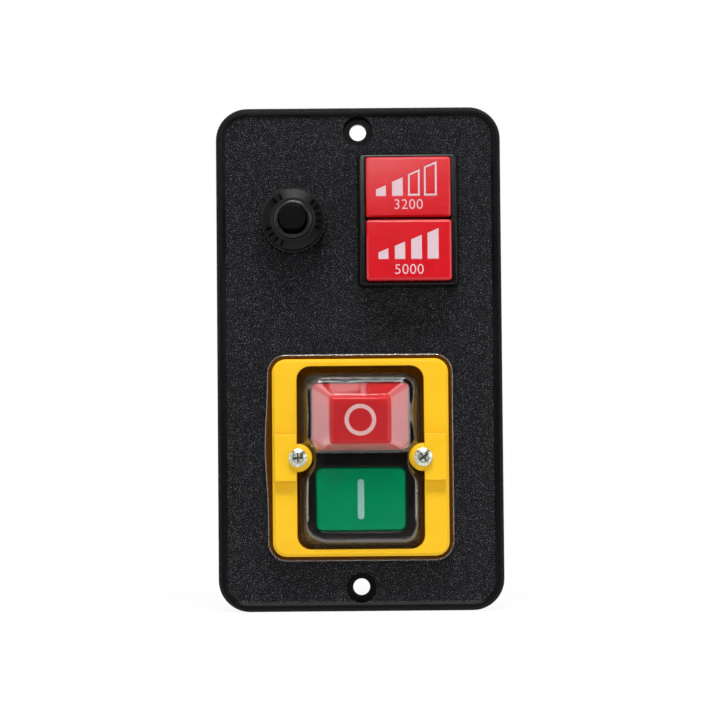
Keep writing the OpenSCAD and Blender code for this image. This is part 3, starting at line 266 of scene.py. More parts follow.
class Shader(NodeTree):
    """The node tree of a material or of the surroundings."""

    def __init__(self, owner: bpy.types.Material | bpy.types.World) -> None:
        """Empties the owner's tree.

        Args:
            owner: A new material or world.
        """
        owner.use_nodes = True
        super().__init__(owner.node_tree)
        self.owner = owner
        self.tree.nodes.clear()

    @cached_property
    def place(self) -> Socket:
        """The object's own coordinates."""
        return self.add("ShaderNodeTexCoord").outputs["Object"]

    def noise(self, noise: Noise, place: Socket | None = None) -> Socket:
        """Adds a noise.

        Args:
            noise: Its cells, layers and strength.
            place: Where it is read, which is the object's own coordinates if none is given.

        Returns:
            Its value.
        """
        inputs = {"Vector": place or self.place, "Scale": noise.scale}
        inputs |= {"Detail": noise.detail, "Roughness": noise.rough}
        return self.add("ShaderNodeTexNoise", inputs).outputs[0]

    def stretched(self, factors: Point) -> Socket:
        """Object coordinates that stretch a pattern axis by axis."""
        inputs = {"Vector": self.place, "Scale": factors}
        return self.add("ShaderNodeMapping", inputs, vector_type="TEXTURE").outputs[0]

    def remap(self, value: Socket, source: Flat, target: Flat = UNIT) -> Socket:
        """Maps a value from one range to another, clamped."""
        return self.add(
            "ShaderNodeMapRange",
            {0: value, 1: source[0], 2: source[1], 3: target[0], 4: target[1]},
        ).outputs[0]

    def blend(self, amount: Socket, first: Socket | Colour, second: Socket | Colour) -> Socket:
        """Mixes two colours, each a socket or three numbers.

        Args:
            amount: Share of the second colour.
            first: The first colour.
            second: The second colour.

        Returns:
            The mixed colour.
        """
        ends = [c if isinstance(c, Socket) else (*c, 1.0) for c in (first, second)]
        # Sockets 6 and 7 and result 2 are the node's colours
        inputs = {0: amount, 6: ends[0], 7: ends[1]}
        return self.add("ShaderNodeMix", inputs, data_type="RGBA").outputs[2]

    def soft_edges(self, radius: float) -> Socket:
        """Normal that rounds the sharp edges off by a radius in metres."""
        return self.add("ShaderNodeBevel", {"Radius": radius}, samples=EDGE_SAMPLES).outputs[0]

    def relief(self, height: Socket, depth: float, normal: Socket | None = None) -> Socket:
        """Bump of a height map.

        Args:
            height: The height, from 0 to 1.
            depth: Depth of the relief in metres.
            normal: The normal that it is laid on.

        Returns:
            The bumped normal.
        """
        inputs = {"Height": height, "Distance": depth}
        if normal is not None:
            inputs["Normal"] = normal
        return self.add("ShaderNodeBump", inputs).outputs[0]

    def along(self, axis: Axis) -> Socket:
        """One of the object's own coordinates."""
        return self.split(self.place)[axis.value]

    def near(self, axis: Axis, level: float, width: float) -> Socket:
        """1 where an object coordinate is within width of a level, else 0."""
        offset = self.math("ABSOLUTE", self.minus(self.along(axis), level))
        return self.math("LESS_THAN", offset, width)

    def distance(self, spot: Socket) -> Socket:
        """Length of a vector."""
        return self.add("ShaderNodeVectorMath", {0: spot}, operation="LENGTH").outputs["Value"]

    def turned(self, normal: Socket | None = None) -> Socket:
        """How far the surface turns away from the ray, from 0 to 1."""
        inputs = {} if normal is None else {"Normal": normal}
        return self.add("ShaderNodeLayerWeight", inputs).outputs["Facing"]

    def seen_by(self, first: Ray, *others: Ray) -> Socket:
        """Tells some kinds of ray from all others.

        Args:
            first: One kind.
            others: More kinds.

        Returns:
            1 for a ray of any of these kinds, else 0.
        """
        path = self.add("ShaderNodeLightPath").outputs
        seen = path[first.value]
        for ray in others:
            seen = self.larger(seen, path[ray.value])
        return seen

    def matt(self, colour: Socket) -> Socket:
        """A matt surface."""
        return self.add("ShaderNodeBsdfDiffuse", {"Color": colour}).outputs[0]

    def white(self) -> Socket:
        """A surface that looks plain white in any light."""
        return self.add("ShaderNodeEmission", {"Color": WHITE}).outputs[0]

    def mix(self, share: Socket, first: Socket, second: Socket) -> Socket:
        """Mixes two surfaces, by the share of the second."""
        return self.add("ShaderNodeMixShader", {0: share, 1: first, 2: second}).outputs[0]

    def surface(self, shader: Socket) -> bpy.types.Material:
        """Ends the tree with a surface and returns the material."""
        self.add("ShaderNodeOutputMaterial", {"Surface": shader})
        return self.owner

    def principled(
        self,
        colour: Socket,
        rough: Socket,
        normal: Socket,
        specular: float = 0.5,
        metallic: float = 0.0,
    ) -> bpy.types.Material:
        """Ends the tree with one Principled shader.

        Args:
            colour: Its colour.
            rough: Its roughness.
            normal: Its normal.
            specular: Its specular level.
            metallic: 1 for bare metal.

        Returns:
            The material.
        """
        inputs = {"Base Color": colour, "Roughness": rough, "Normal": normal}
        inputs |= {"Specular IOR Level": specular, "Metallic": metallic}
        return self.surface(self.add("ShaderNodeBsdfPrincipled", inputs).outputs[0])


def new_material(name: str) -> Shader:
    """Starts a material without nodes."""
    return Shader(bpy.data.materials.new(name))


@dataclass(frozen=True)
class Finish:
    """A finish: its name, and the record's material slot that it stands for, which is not used."""

    name: str
    slot: str

    def build(self) -> bpy.types.Material:
        """Makes the finish's material."""
        raise NotImplementedError

    def material(self) -> bpy.types.Material:
        """Gives the finish's material, which the first call makes.

        Returns:
            The material.
        """
        if self.name not in MIXED:
            MIXED[self.name] = self.build()
        return MIXED[self.name]


@dataclass(frozen=True)
class MouldedPlastic(Finish):
    """Injection-moulded plastic with a fine skin, soft edges and a slight unevenness."""

    tone: Colour
    shade: Colour
    roughness: float
    specular: float
    skin: Noise = Noise(2600.0, 3.0, 0.6)
    skin_depth: float = 0.00001
    edge: float = 0.0003
    cloud: Noise = Noise(90.0, 4.0, 0.6)
    scuff: Noise = Noise(260.0, 5.0, 0.7)
    scuff_stretch: Point = (1.0, 1.0, 1 / 3)
    scuff_band: Flat = (0.45, 0.7)
    scuff_rise: float = 0.08
    skin_play: float = 0.03

    def build(self) -> bpy.types.Material:
        """Makes the material.

        Returns:
            The material.
        """
        s = new_material(self.name)
        colour = s.blend(s.remap(s.noise(self.cloud), MID_BAND), self.tone, self.shade)
        skin = s.noise(self.skin)
        scuff = s.noise(self.scuff, s.stretched(self.scuff_stretch))
        rough = s.plus(
            s.remap(scuff, self.scuff_band, (self.roughness, self.roughness + self.scuff_rise)),
            s.remap(skin, FULL_BAND, (-self.skin_play, self.skin_play)),
        )
        normal = s.relief(skin, self.skin_depth, s.soft_edges(self.edge))
        return s.principled(colour, rough, normal, self.specular)


@dataclass(frozen=True)
class GrainedPlastic(Finish):
    """Black plastic whose recessed field has a sparkling eroded grain, partly painted as pale
    glints, and whose rim is satin.

    A pair of numbers that belongs to both places gives the rim's first and the field's second.
    """

    field_y: float
    field_depth: float = 0.0002
    tone: Colour = (0.0037, 0.0038, 0.0045)
    worn: Colour = (0.0062, 0.006, 0.0065)
    ground: Colour = (0.0062, 0.0064, 0.0076)
    # Pale flecks on the field's grain: partly the grain's own pattern, partly painted glints of
    # its sparkle
    grain_glint_tone: Colour = (0.23, 0.237, 0.26)
    grain_glint_band: Flat = (0.95, 1.08)
    grain_glint_share: float = 0.95
    pits: Noise = Noise(4000.0, 2.0, 0.75)
    cells: float = 4100.0
    cell_share: float = 0.5
    broad: Noise = Noise(500.0, 3.0, 0.6)
    broad_share: float = 0.12
    cloud: Noise = Noise(60.0, 4.0, 0.6)
    most_worn: float = 0.7
    roughness: Flat = (0.28, 0.4)
    pit_play: Flat = (-0.06, 0.08)
    relief_share: Flat = (0.04, 1.0)
    relief: float = 0.00009
    edge: float = 0.0004
    specular: float = 0.07

    def build(self) -> bpy.types.Material:
        """Makes the material.

        Returns:
            The material.
        """
        s = new_material(self.name)
        on_field = s.near(Axis.Y, self.field_y, self.field_depth)
        pits = s.noise(self.pits)
        cells = s.add("ShaderNodeTexVoronoi", {"Vector": s.place, "Scale": self.cells})
        height = s.plus(s.times(cells.outputs["Distance"], self.cell_share), pits)
        height = s.plus(height, s.times(s.noise(self.broad), self.broad_share))
        # Pale flecks where the grain is highest: painted glints on the grain's pattern
        grain_glint = s.times(s.remap(height, self.grain_glint_band), on_field)
        cloud = s.remap(s.noise(self.cloud), MID_BAND, (0.0, self.most_worn))
        ground = s.blend(on_field, s.blend(cloud, self.tone, self.worn), self.ground)
        colour = s.blend(s.times(grain_glint, self.grain_glint_share), ground, self.grain_glint_tone)
        even = s.remap(on_field, UNIT, self.roughness)
        rough = s.plus(even, s.remap(pits, FULL_BAND, self.pit_play))
        height = s.times(height, s.remap(on_field, UNIT, self.relief_share))
        normal = s.relief(height, self.relief, s.soft_edges(self.edge))
        return s.principled(colour, rough, normal, self.specular)


@dataclass(frozen=True)
class PrintedInk(Finish):
    """Pad-printed ink, slightly uneven, through which the ground shows a little."""

    tone: Colour
    thin: Colour
    film: Noise = Noise(900.0, 4.0, 0.65)
    film_band: Flat = (0.3, 0.75)
    skin: Noise = Noise(5000.0)
    skin_depth: float = 0.000006
    roughness: Flat = (0.38, 0.52)
    specular: float = 0.3

    def build(self) -> bpy.types.Material:
        """Makes the material.

        Returns:
            The material.
        """
        s = new_material(self.name)
        film = s.remap(s.noise(self.film), self.film_band)
        skin = s.noise(self.skin)
        rough = s.remap(skin, FULL_BAND, self.roughness)
        normal = s.relief(skin, self.skin_depth)
        return s.principled(s.blend(film, self.tone, self.thin), rough, normal, self.specular)


@dataclass(frozen=True)
class DrawnMetal(Finish):
    """Metal with fine drawing lines, cloudy tarnish and soft edges."""

    tone: Colour
    tarnish: Colour
    roughness: float
    stretch: Point = (1.0, 1.0, 12.0)
    edge: float = 0.0001
    lines: Noise = Noise(9000.0, 3.0, 0.6)
    line_depth: float = 0.000004
    line_play: float = 0.06
    cloud: Noise = Noise(420.0, 5.0, 0.65)
    cloud_band: Flat = (0.4, 0.72)
    cloud_rise: float = 0.16

    def build(self) -> bpy.types.Material:
        """Makes the material.

        Returns:
            The material.
        """
        s = new_material(self.name)
        lines = s.noise(self.lines, s.stretched(self.stretch))
        cloud = s.remap(s.noise(self.cloud), self.cloud_band)
        play = (self.roughness - self.line_play, self.roughness + self.line_play)
        rough = s.plus(s.remap(lines, FULL_BAND, play), s.times(cloud, self.cloud_rise))
        normal = s.relief(lines, self.line_depth, s.soft_edges(self.edge))
        return s.principled(s.blend(cloud, self.tone, self.tarnish), rough, normal, metallic=1.0)


@dataclass(frozen=True)
class Striped(Finish):
    """Metal in parallel layers or turns, such as stacked sheets or wound wire."""

    tone: Colour
    gap: Colour
    axis: Axis
    pitch: float
    distortion: float = 0.4
    gap_band: Flat = (0.0, 0.25)
    gap_depth: float = 0.00008
    patch: Noise = Noise(700.0, 4.0, 0.6)
    roughness: Flat = (0.24, 0.42)

    def build(self) -> bpy.types.Material:
        """Makes the material.

        Returns:
            The material.
        """
        s = new_material(self.name)
        wave = s.add(
            "ShaderNodeTexWave",
            {
                "Vector": s.place,
                "Scale": 2 * math.pi / (WAVE_PHASE * self.pitch),
                "Distortion": self.distortion,
            },
            wave_type="BANDS",
            bands_direction=self.axis.name,
            wave_profile="SIN",
        ).outputs["Fac"]
        colour = s.blend(s.remap(wave, self.gap_band), self.gap, self.tone)
        rough = s.remap(s.noise(self.patch), FULL_BAND, self.roughness)
        return s.principled(colour, rough, s.relief(wave, self.gap_depth), metallic=1.0)


@dataclass(frozen=True)
class RecessedZinc(Finish):
    """Plated screw head with lines of turning, and painted shade darkening its cross recess."""

    screw_x: float
    screw_up: float
    face_y: float
    recess_r: Flat = (0.0017, 0.0019)
    recess_depth: Flat = (0.0001, 0.0005)
    tone: Colour = (0.85, 0.88, 0.79)
    dark: Colour = (0.26, 0.29, 0.22)
    # Painted shade in the cross recess
    recess_shade: Colour = (0.1, 0.11, 0.085)
    cloud: Noise = Noise(1500.0, 4.0, 0.65)
    cloud_band: Flat = (0.35, 0.7)
    roughness: Flat = (0.2, 0.36)
    turning: float = 52000.0
    turning_depth: float = 0.000004
    edge: float = 0.00012

    def build(self) -> bpy.types.Material:
        """Makes the material.

        Returns:
            The material.
        """
        s = new_material(self.name)
        x, y, z = s.split(s.place)
        across = s.minus(s.math("ABSOLUTE", x), self.screw_x)
        away = s.distance(s.join(across, s.minus(z, self.screw_up)))
        middle = s.remap(away, self.recess_r, (1.0, 0.0))
        sunk = s.remap(y, tuple(self.face_y + depth for depth in self.recess_depth))
        cloud = s.remap(s.noise(self.cloud), self.cloud_band)
        rings = s.math("SINE", s.times(away, self.turning))
        unshaded = s.blend(cloud, self.tone, self.dark)
        # Darker down in the cross recess: painted shade
        colour = s.blend(s.times(middle, sunk), unshaded, self.recess_shade)
        normal = s.relief(rings, self.turning_depth, s.soft_edges(self.edge))
        return s.principled(colour, s.remap(cloud, UNIT, self.roughness), normal, metallic=1.0)


@dataclass(frozen=True)
class ClearSilicone(Finish):
    """Clear soft moulding: see-through face on, glossy, dull and milky where it turns away.

    A ramp gives the range of what it depends on, and then the range of its result. The mirror
    is weaker where the outside faces straight out or down, as the worn moulding is duller there.
    """

    sheet_y: float
    sheet_depth: float = 0.0001
    lip_depth: float = 0.00015
    haze: Colour = (0.5, 0.46, 0.42)
    # Painted glow: the sheet's warm colour stands in for the yellow frame's light bouncing onto it
    painted_glow: Colour = (0.09, 0.03, 0.001)
    tint: Colour = (0.99, 0.985, 0.98)
    rim_tint: Colour = (0.2, 0.18, 0.16)
    rim_band: Flat = (0.6, 0.97)
    smear: Noise = Noise(190.0, 4.0, 0.6)
    smear_depth: float = 0.000012
    milk_turned: Ramp = ((0.4, 1.0), (0.0, 0.11))
    milk_smeared: Ramp = ((0.45, 0.8), (0.0, 0.006))
    milk_lip: Ramp = ((0.1, 0.3), (0.0, 0.35))
    # Share of the sheet that shows the painted glow
    painted_glow_share: float = 0.85
    gloss: Flat = (0.02, 0.05)
    mirror_power: float = 1.1
    mirror_slope: float = 0.62
    mirror_range: Flat = (0.002, 0.34)
    mirror_crown: Ramp = ((-0.985, -0.93), (0.35, 1.0))
    mirror_under: Ramp = ((-0.6, -0.25), (0.62, 1.0))

    def milk(self, s: Shader, smear: Socket, sheet: Socket) -> Socket:
        """Share of the wall that is milky, which on the sheet is the share of its painted glow.

        Args:
            s: The material.
            smear: The smears' noise.
            sheet: 1 on the sheet that the frame clamps, else 0.

        Returns:
            The share, from 0 to 1.
        """
        facing = s.turned()
        milk = s.plus(s.remap(facing, *self.milk_turned), s.remap(smear, *self.milk_smeared))
        # On the sheet, most of the wall shows the painted glow of the yellow frame's light
        milk = s.larger(milk, s.times(sheet, self.painted_glow_share))
        behind = s.math("GREATER_THAN", s.along(Axis.Y), self.sheet_y + self.lip_depth)
        return s.larger(milk, s.times(behind, s.remap(facing, *self.milk_lip)))

    def mirror(self, s: Shader, normal: Socket) -> Socket:
        """Share of the light that the outside mirrors.

        Args:
            s: The material.
            normal: The smeared normal.

        Returns:
            The share, from 0 to 1.
        """
        least, most = self.mirror_range
        bent = s.math("POWER", s.turned(normal), self.mirror_power)
        share = s.smaller(s.plus(s.times(bent, self.mirror_slope), least), most)
        _, facing_y, facing_z = s.split(s.add("ShaderNodeNewGeometry").outputs["Normal"])
        crown = s.remap(facing_y, *self.mirror_crown)
        return s.times(share, s.times(crown, s.remap(facing_z, *self.mirror_under)))

    def build(self) -> bpy.types.Material:
        """Makes the material.

        Returns:
            The material.
        """
        s = new_material(self.name)
        smear = s.noise(self.smear)
        normal = s.relief(smear, self.smear_depth)
        sheet = s.near(Axis.Y, self.sheet_y, self.sheet_depth)
        tint = s.blend(s.remap(s.turned(), self.rim_band), self.tint, self.rim_tint)
        clear = s.add("ShaderNodeBsdfTransparent", {"Color": tint}).outputs[0]
        # Diffuse milk, which on the sheet is the painted glow of the yellow frame's light
        cloud = s.add(
            "ShaderNodeBsdfDiffuse",
            {"Color": s.blend(sheet, self.haze, self.painted_glow), "Normal": normal},
        ).outputs[0]
        rough = s.remap(smear, FULL_BAND, self.gloss)
        shine = s.add(
            "ShaderNodeBsdfGlossy", {"Color": WHITE, "Roughness": rough, "Normal": normal}
        ).outputs[0]
        wall = s.mix(self.milk(s, smear, sheet), clear, cloud)
        return s.surface(s.mix(self.mirror(s, normal), wall, shine))


FRAME_BOX = NodeBox.of("yellow_frame")
SWITCH_UP = FRAME_BOX.middle[2]
SCREW_X = 0.0191
# The yellow frame lies on the boot's sheet, and the nut on the plate's field
SHEET_Y = FRAME_BOX.high[1]
FIELD_Y = NodeBox.of("reset_nut").high[1]
FINE_SKIN = Noise(3800.0, 3.0, 0.6)

PLATE_BLACK = GrainedPlastic("plate_black", "panel_black", field_y=FIELD_Y)
CASE_BLACK = MouldedPlastic(
    "case_black", "case_black", (0.004, 0.004, 0.0042), (0.0065, 0.0063, 0.006),
    roughness=0.16, specular=0.4, edge=0.0008,
)
CAP_BLACK = MouldedPlastic(
    "cap_black", "nut_black", (0.0018, 0.0018, 0.0017), (0.0028, 0.0027, 0.0026),
    roughness=0.2, specular=0.045, edge=0.0002,
)
TICK_BLACK = MouldedPlastic(
    "tick_black", "nut_black", (0.0008, 0.0008, 0.0009), (0.0012, 0.0012, 0.0013),
    roughness=0.5, specular=0.02, edge=0.0001,
)
COVER_BLACK = MouldedPlastic(
    "cover_black", "base_black", (0.017, 0.016, 0.015), (0.026, 0.024, 0.022),
    roughness=0.5, specular=0.3,
)
NUT_BLACK = MouldedPlastic(
    "nut_black", "nut_black", (0.0028, 0.003, 0.0032), (0.0044, 0.0046, 0.0048),
    roughness=0.32, specular=0.2, edge=0.00035,
)
YELLOW = MouldedPlastic(
    "frame_yellow", "yellow_plastic", (0.83, 0.49, 0.014), (0.81, 0.462, 0.01),
    roughness=0.34, specular=0.22, edge=0.0004,
)
STOP_RED = MouldedPlastic(
    "stop_red", "stop_red", (0.66, 0.033, 0.04), (0.61, 0.028, 0.034),
    roughness=0.16, specular=0.4, skin=FINE_SKIN, skin_depth=0.000004,
)
START_GREEN = MouldedPlastic(
    "start_green", "start_green", (0.0, 0.325, 0.133), (0.0, 0.305, 0.123),
    roughness=0.14, specular=0.35, skin=FINE_SKIN, skin_depth=0.000004, edge=0.0004,
)
KEY_RED = MouldedPlastic(
    "key_red", "key_red", (0.58, 0.008, 0.015), (0.54, 0.007, 0.013),
    roughness=0.12, specular=0.5, skin=FINE_SKIN, skin_depth=0.000003, edge=0.0005,
)
CARRIER = MouldedPlastic(
    "carrier_brown", "carrier_plastic", (0.22, 0.16, 0.1), (0.17, 0.12, 0.075),
    roughness=0.5, specular=0.4,
)
BOBBIN = MouldedPlastic(
    "bobbin_white", "bobbin_plastic", (0.66, 0.64, 0.57), (0.6, 0.57, 0.5),
    roughness=0.42, specular=0.4,
)
ROCKER_WHITE = MouldedPlastic(
    "rocker_white", "rocker_plastic", (0.7, 0.69, 0.64), (0.62, 0.61, 0.56),
    roughness=0.4, specular=0.4,
)
MARK_WHITE = PrintedInk("mark_white", "mark_white", (0.92, 0.64, 0.655), (0.83, 0.53, 0.55))
KEY_WHITE = PrintedInk("key_white", "mark_white", (0.66, 0.5, 0.54), (0.59, 0.41, 0.455))
MARK_GREEN = PrintedInk(
    "mark_pale_green", "mark_green_white", (0.385, 0.7, 0.63), (0.29, 0.6, 0.52)
)
ZINC = DrawnMetal(
    "screw_zinc", "zinc", (0.5, 0.52, 0.48), (0.32, 0.34, 0.3), 0.24, (1.0, 6.0, 1.0)
)
HEAD_ZINC = RecessedZinc(
    "head_zinc", "zinc", screw_x=SCREW_X, screw_up=SWITCH_UP, face_y=-0.0158
)
SPRING_STEEL = DrawnMetal(
    "spring_steel", "spring_steel", (0.62, 0.62, 0.63), (0.4, 0.38, 0.36), 0.28
)
CONTACT_COPPER = DrawnMetal(
    "contact_copper", "copper_alloy", (0.78, 0.42, 0.22), (0.5, 0.25, 0.13), 0.32
)
BRASS = DrawnMetal(
    "terminal_brass", "terminal_brass", (0.78, 0.58, 0.27), (0.52, 0.36, 0.16), 0.3
)
BIMETAL = DrawnMetal("bimetal", "bimetal", (0.66, 0.6, 0.5), (0.42, 0.36, 0.3), 0.36)
CORE_STEEL = Striped(
    "core_steel", "magnet_steel", (0.36, 0.36, 0.37), (0.05, 0.045, 0.04), Axis.Z, pitch=0.0005
)
COIL_COPPER = Striped(
    "coil_copper", "copper_wire", (0.66, 0.27, 0.1), (0.12, 0.04, 0.015), Axis.Y, pitch=0.0003
)
SILICONE = ClearSilicone("clear_silicone", "clear_silicone", sheet_y=SHEET_Y)


def dress(finish: Finish, *names: str) -> None:
    """Gives CAD nodes a finish.

    Args:
        finish: What they are made of.
        names: The nodes' names.
    """
    for name in names:
        for slot in frame["nodes"][name].material_slots:
            slot.material = finish.material()
        LOG.info("node %s: %s", name, finish.name)


def add_object(name: str, data: bpy.types.ID) -> bpy.types.Object:
    """Adds an object to the scene.

    Args:
        name: Its name.
        data: Its mesh, curve, lamp or camera.

    Returns:
        The object.
    """
    made = bpy.data.objects.new(name, data)
    bpy.context.scene.collection.objects.link(made)
    return made


def add_piece(
    name: str, mesh: bpy.types.Mesh, finish: Finish, body: Body, smooth: bool = True
) -> bpy.types.Object:
    """Adds a finished piece and lets it ride on a body.

    Args:
        name: The piece's name.
        mesh: Its mesh, in place.
        finish: What it is made of.
        body: The body that carries it.
        smooth: Whether its faces are shaded smooth.

    Returns:
        The piece.
    """
    mesh.name = name
    mesh.materials.clear()
    mesh.materials.append(finish.material())
    for face in mesh.polygons:
        face.use_smooth = smooth
        face.material_index = 0
    piece = add_object(name, mesh)
    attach(piece, body.value)
    LOG.info("piece %s: %d faces on %s", name, len(mesh.polygons), body.value)
    return piece


def take_mesh(holder: bpy.types.Object) -> bpy.types.Mesh:
    """Turns an object's final shape into a plain mesh and removes the object.

    Args:
        holder: The object, with its modifiers or text.

    Returns:
        The mesh.
    """
    graph = bpy.context.evaluated_depsgraph_get()
    made = bpy.data.meshes.new_from_object(holder.evaluated_get(graph))
    holder.modifiers.clear()
    bpy.data.objects.remove(holder)
    return made


def front(x: float, up: float, out: float) -> Vector:
    """Point of the frame from a place on the panel and its height out of the back plane."""
    return Vector((x, -out, up))


def standing(x: float, up: float, out: float) -> Matrix:
    """Turns a shape's own Z axis to point out of the panel, and moves the shape to a place."""
    return Matrix.Translation(front(x, up, out)) @ Matrix.Rotation(math.pi / 2, 4, "X")


def clamped(value: float) -> float:
    """The value, kept between 0 and 1."""
    return min(max(value, 0.0), 1.0)


def bell(value: float, width: float) -> float:
    """1 at 0, falling smoothly on both sides to 1/e at the width."""
    return math.exp(-((value / width) ** 2))


def partway(first: list[float] | Flat, second: list[float] | Flat, share: float) -> list[float]:
    """Numbers part of the way from one row to another."""
    return [a + (b - a) * share for a, b in zip(first, second)]


class NodeBuilder(NodeTree):
    """A Geometry Nodes tree with named inputs, and the plain mesh that it makes."""

    def __init__(self, name: str, sizes: dict[str, float]) -> None:
        """Starts a tree.

        Args:
            name: Name of the tree.
            sizes: Its inputs and their default values; a whole number gives an integer input.
        """
        super().__init__(bpy.data.node_groups.new(name, "GeometryNodeTree"))
        self.tree.is_modifier = True
        face = self.tree.interface
        face.new_socket("Geometry", in_out="OUTPUT", socket_type="NodeSocketGeometry")
        self.ids: dict[str, str] = {}
        for key, value in sizes.items():
            kind = "NodeSocketInt" if isinstance(value, int) else "NodeSocketFloat"
            socket = face.new_socket(key, in_out="INPUT", socket_type=kind)
            socket.default_value = value
            self.ids[key] = socket.identifier
        self.source = self.add("NodeGroupInput")

    def size(self, name: str) -> Socket:
        """The socket of a named input."""
        return self.source.outputs[name]

    def finish(self, geometry: Socket, finish: Finish) -> None:
        """Ends the tree with real geometry in a material.

        Args:
            geometry: What the tree has made.
            finish: What it is made of.
        """
        real = self.add("GeometryNodeRealizeInstances", {0: geometry}).outputs[0]
        dressed = self.add("GeometryNodeSetMaterial", {0: real, 2: finish.material()}).outputs[0]
        self.add("NodeGroupOutput", {0: dressed})

    def mesh(self, name: str, sizes: dict[str, float]) -> bpy.types.Mesh:
        """Runs the tree.

        Args:
            name: Name of the mesh.
            sizes: Values of its inputs, by name.

        Returns:
            The tree's result as a plain mesh, about its own origin.
        """
        carrier = add_object(name, bpy.data.meshes.new(name + "_carrier"))
        modifier = carrier.modifiers.new("shape", "NODES")
        modifier.node_group = self.tree
        for key, value in sizes.items():
            modifier[self.ids[key]] = value
        return take_mesh(carrier)


@dataclass(frozen=True)
class Lamp:
    """A soft lamp that is aimed at the panel: its place, width, height and brightness."""

    name: str
    place: Point
    width: float
    height: float
    brightness: float

    def hang(self) -> None:
        """Hangs the lamp."""
        data = bpy.data.lights.new(self.name, "AREA")
        data.shape = "RECTANGLE"
        data.size = self.width
        data.size_y = self.height
        data.energy = self.brightness * math.pi * self.width * self.height
        lamp = add_object(self.name, data)
        lamp.location = self.place
        lamp.rotation_euler = (-Vector(self.place)).to_track_quat("-Z", "Y").to_euler()
        lamp.visible_camera = False


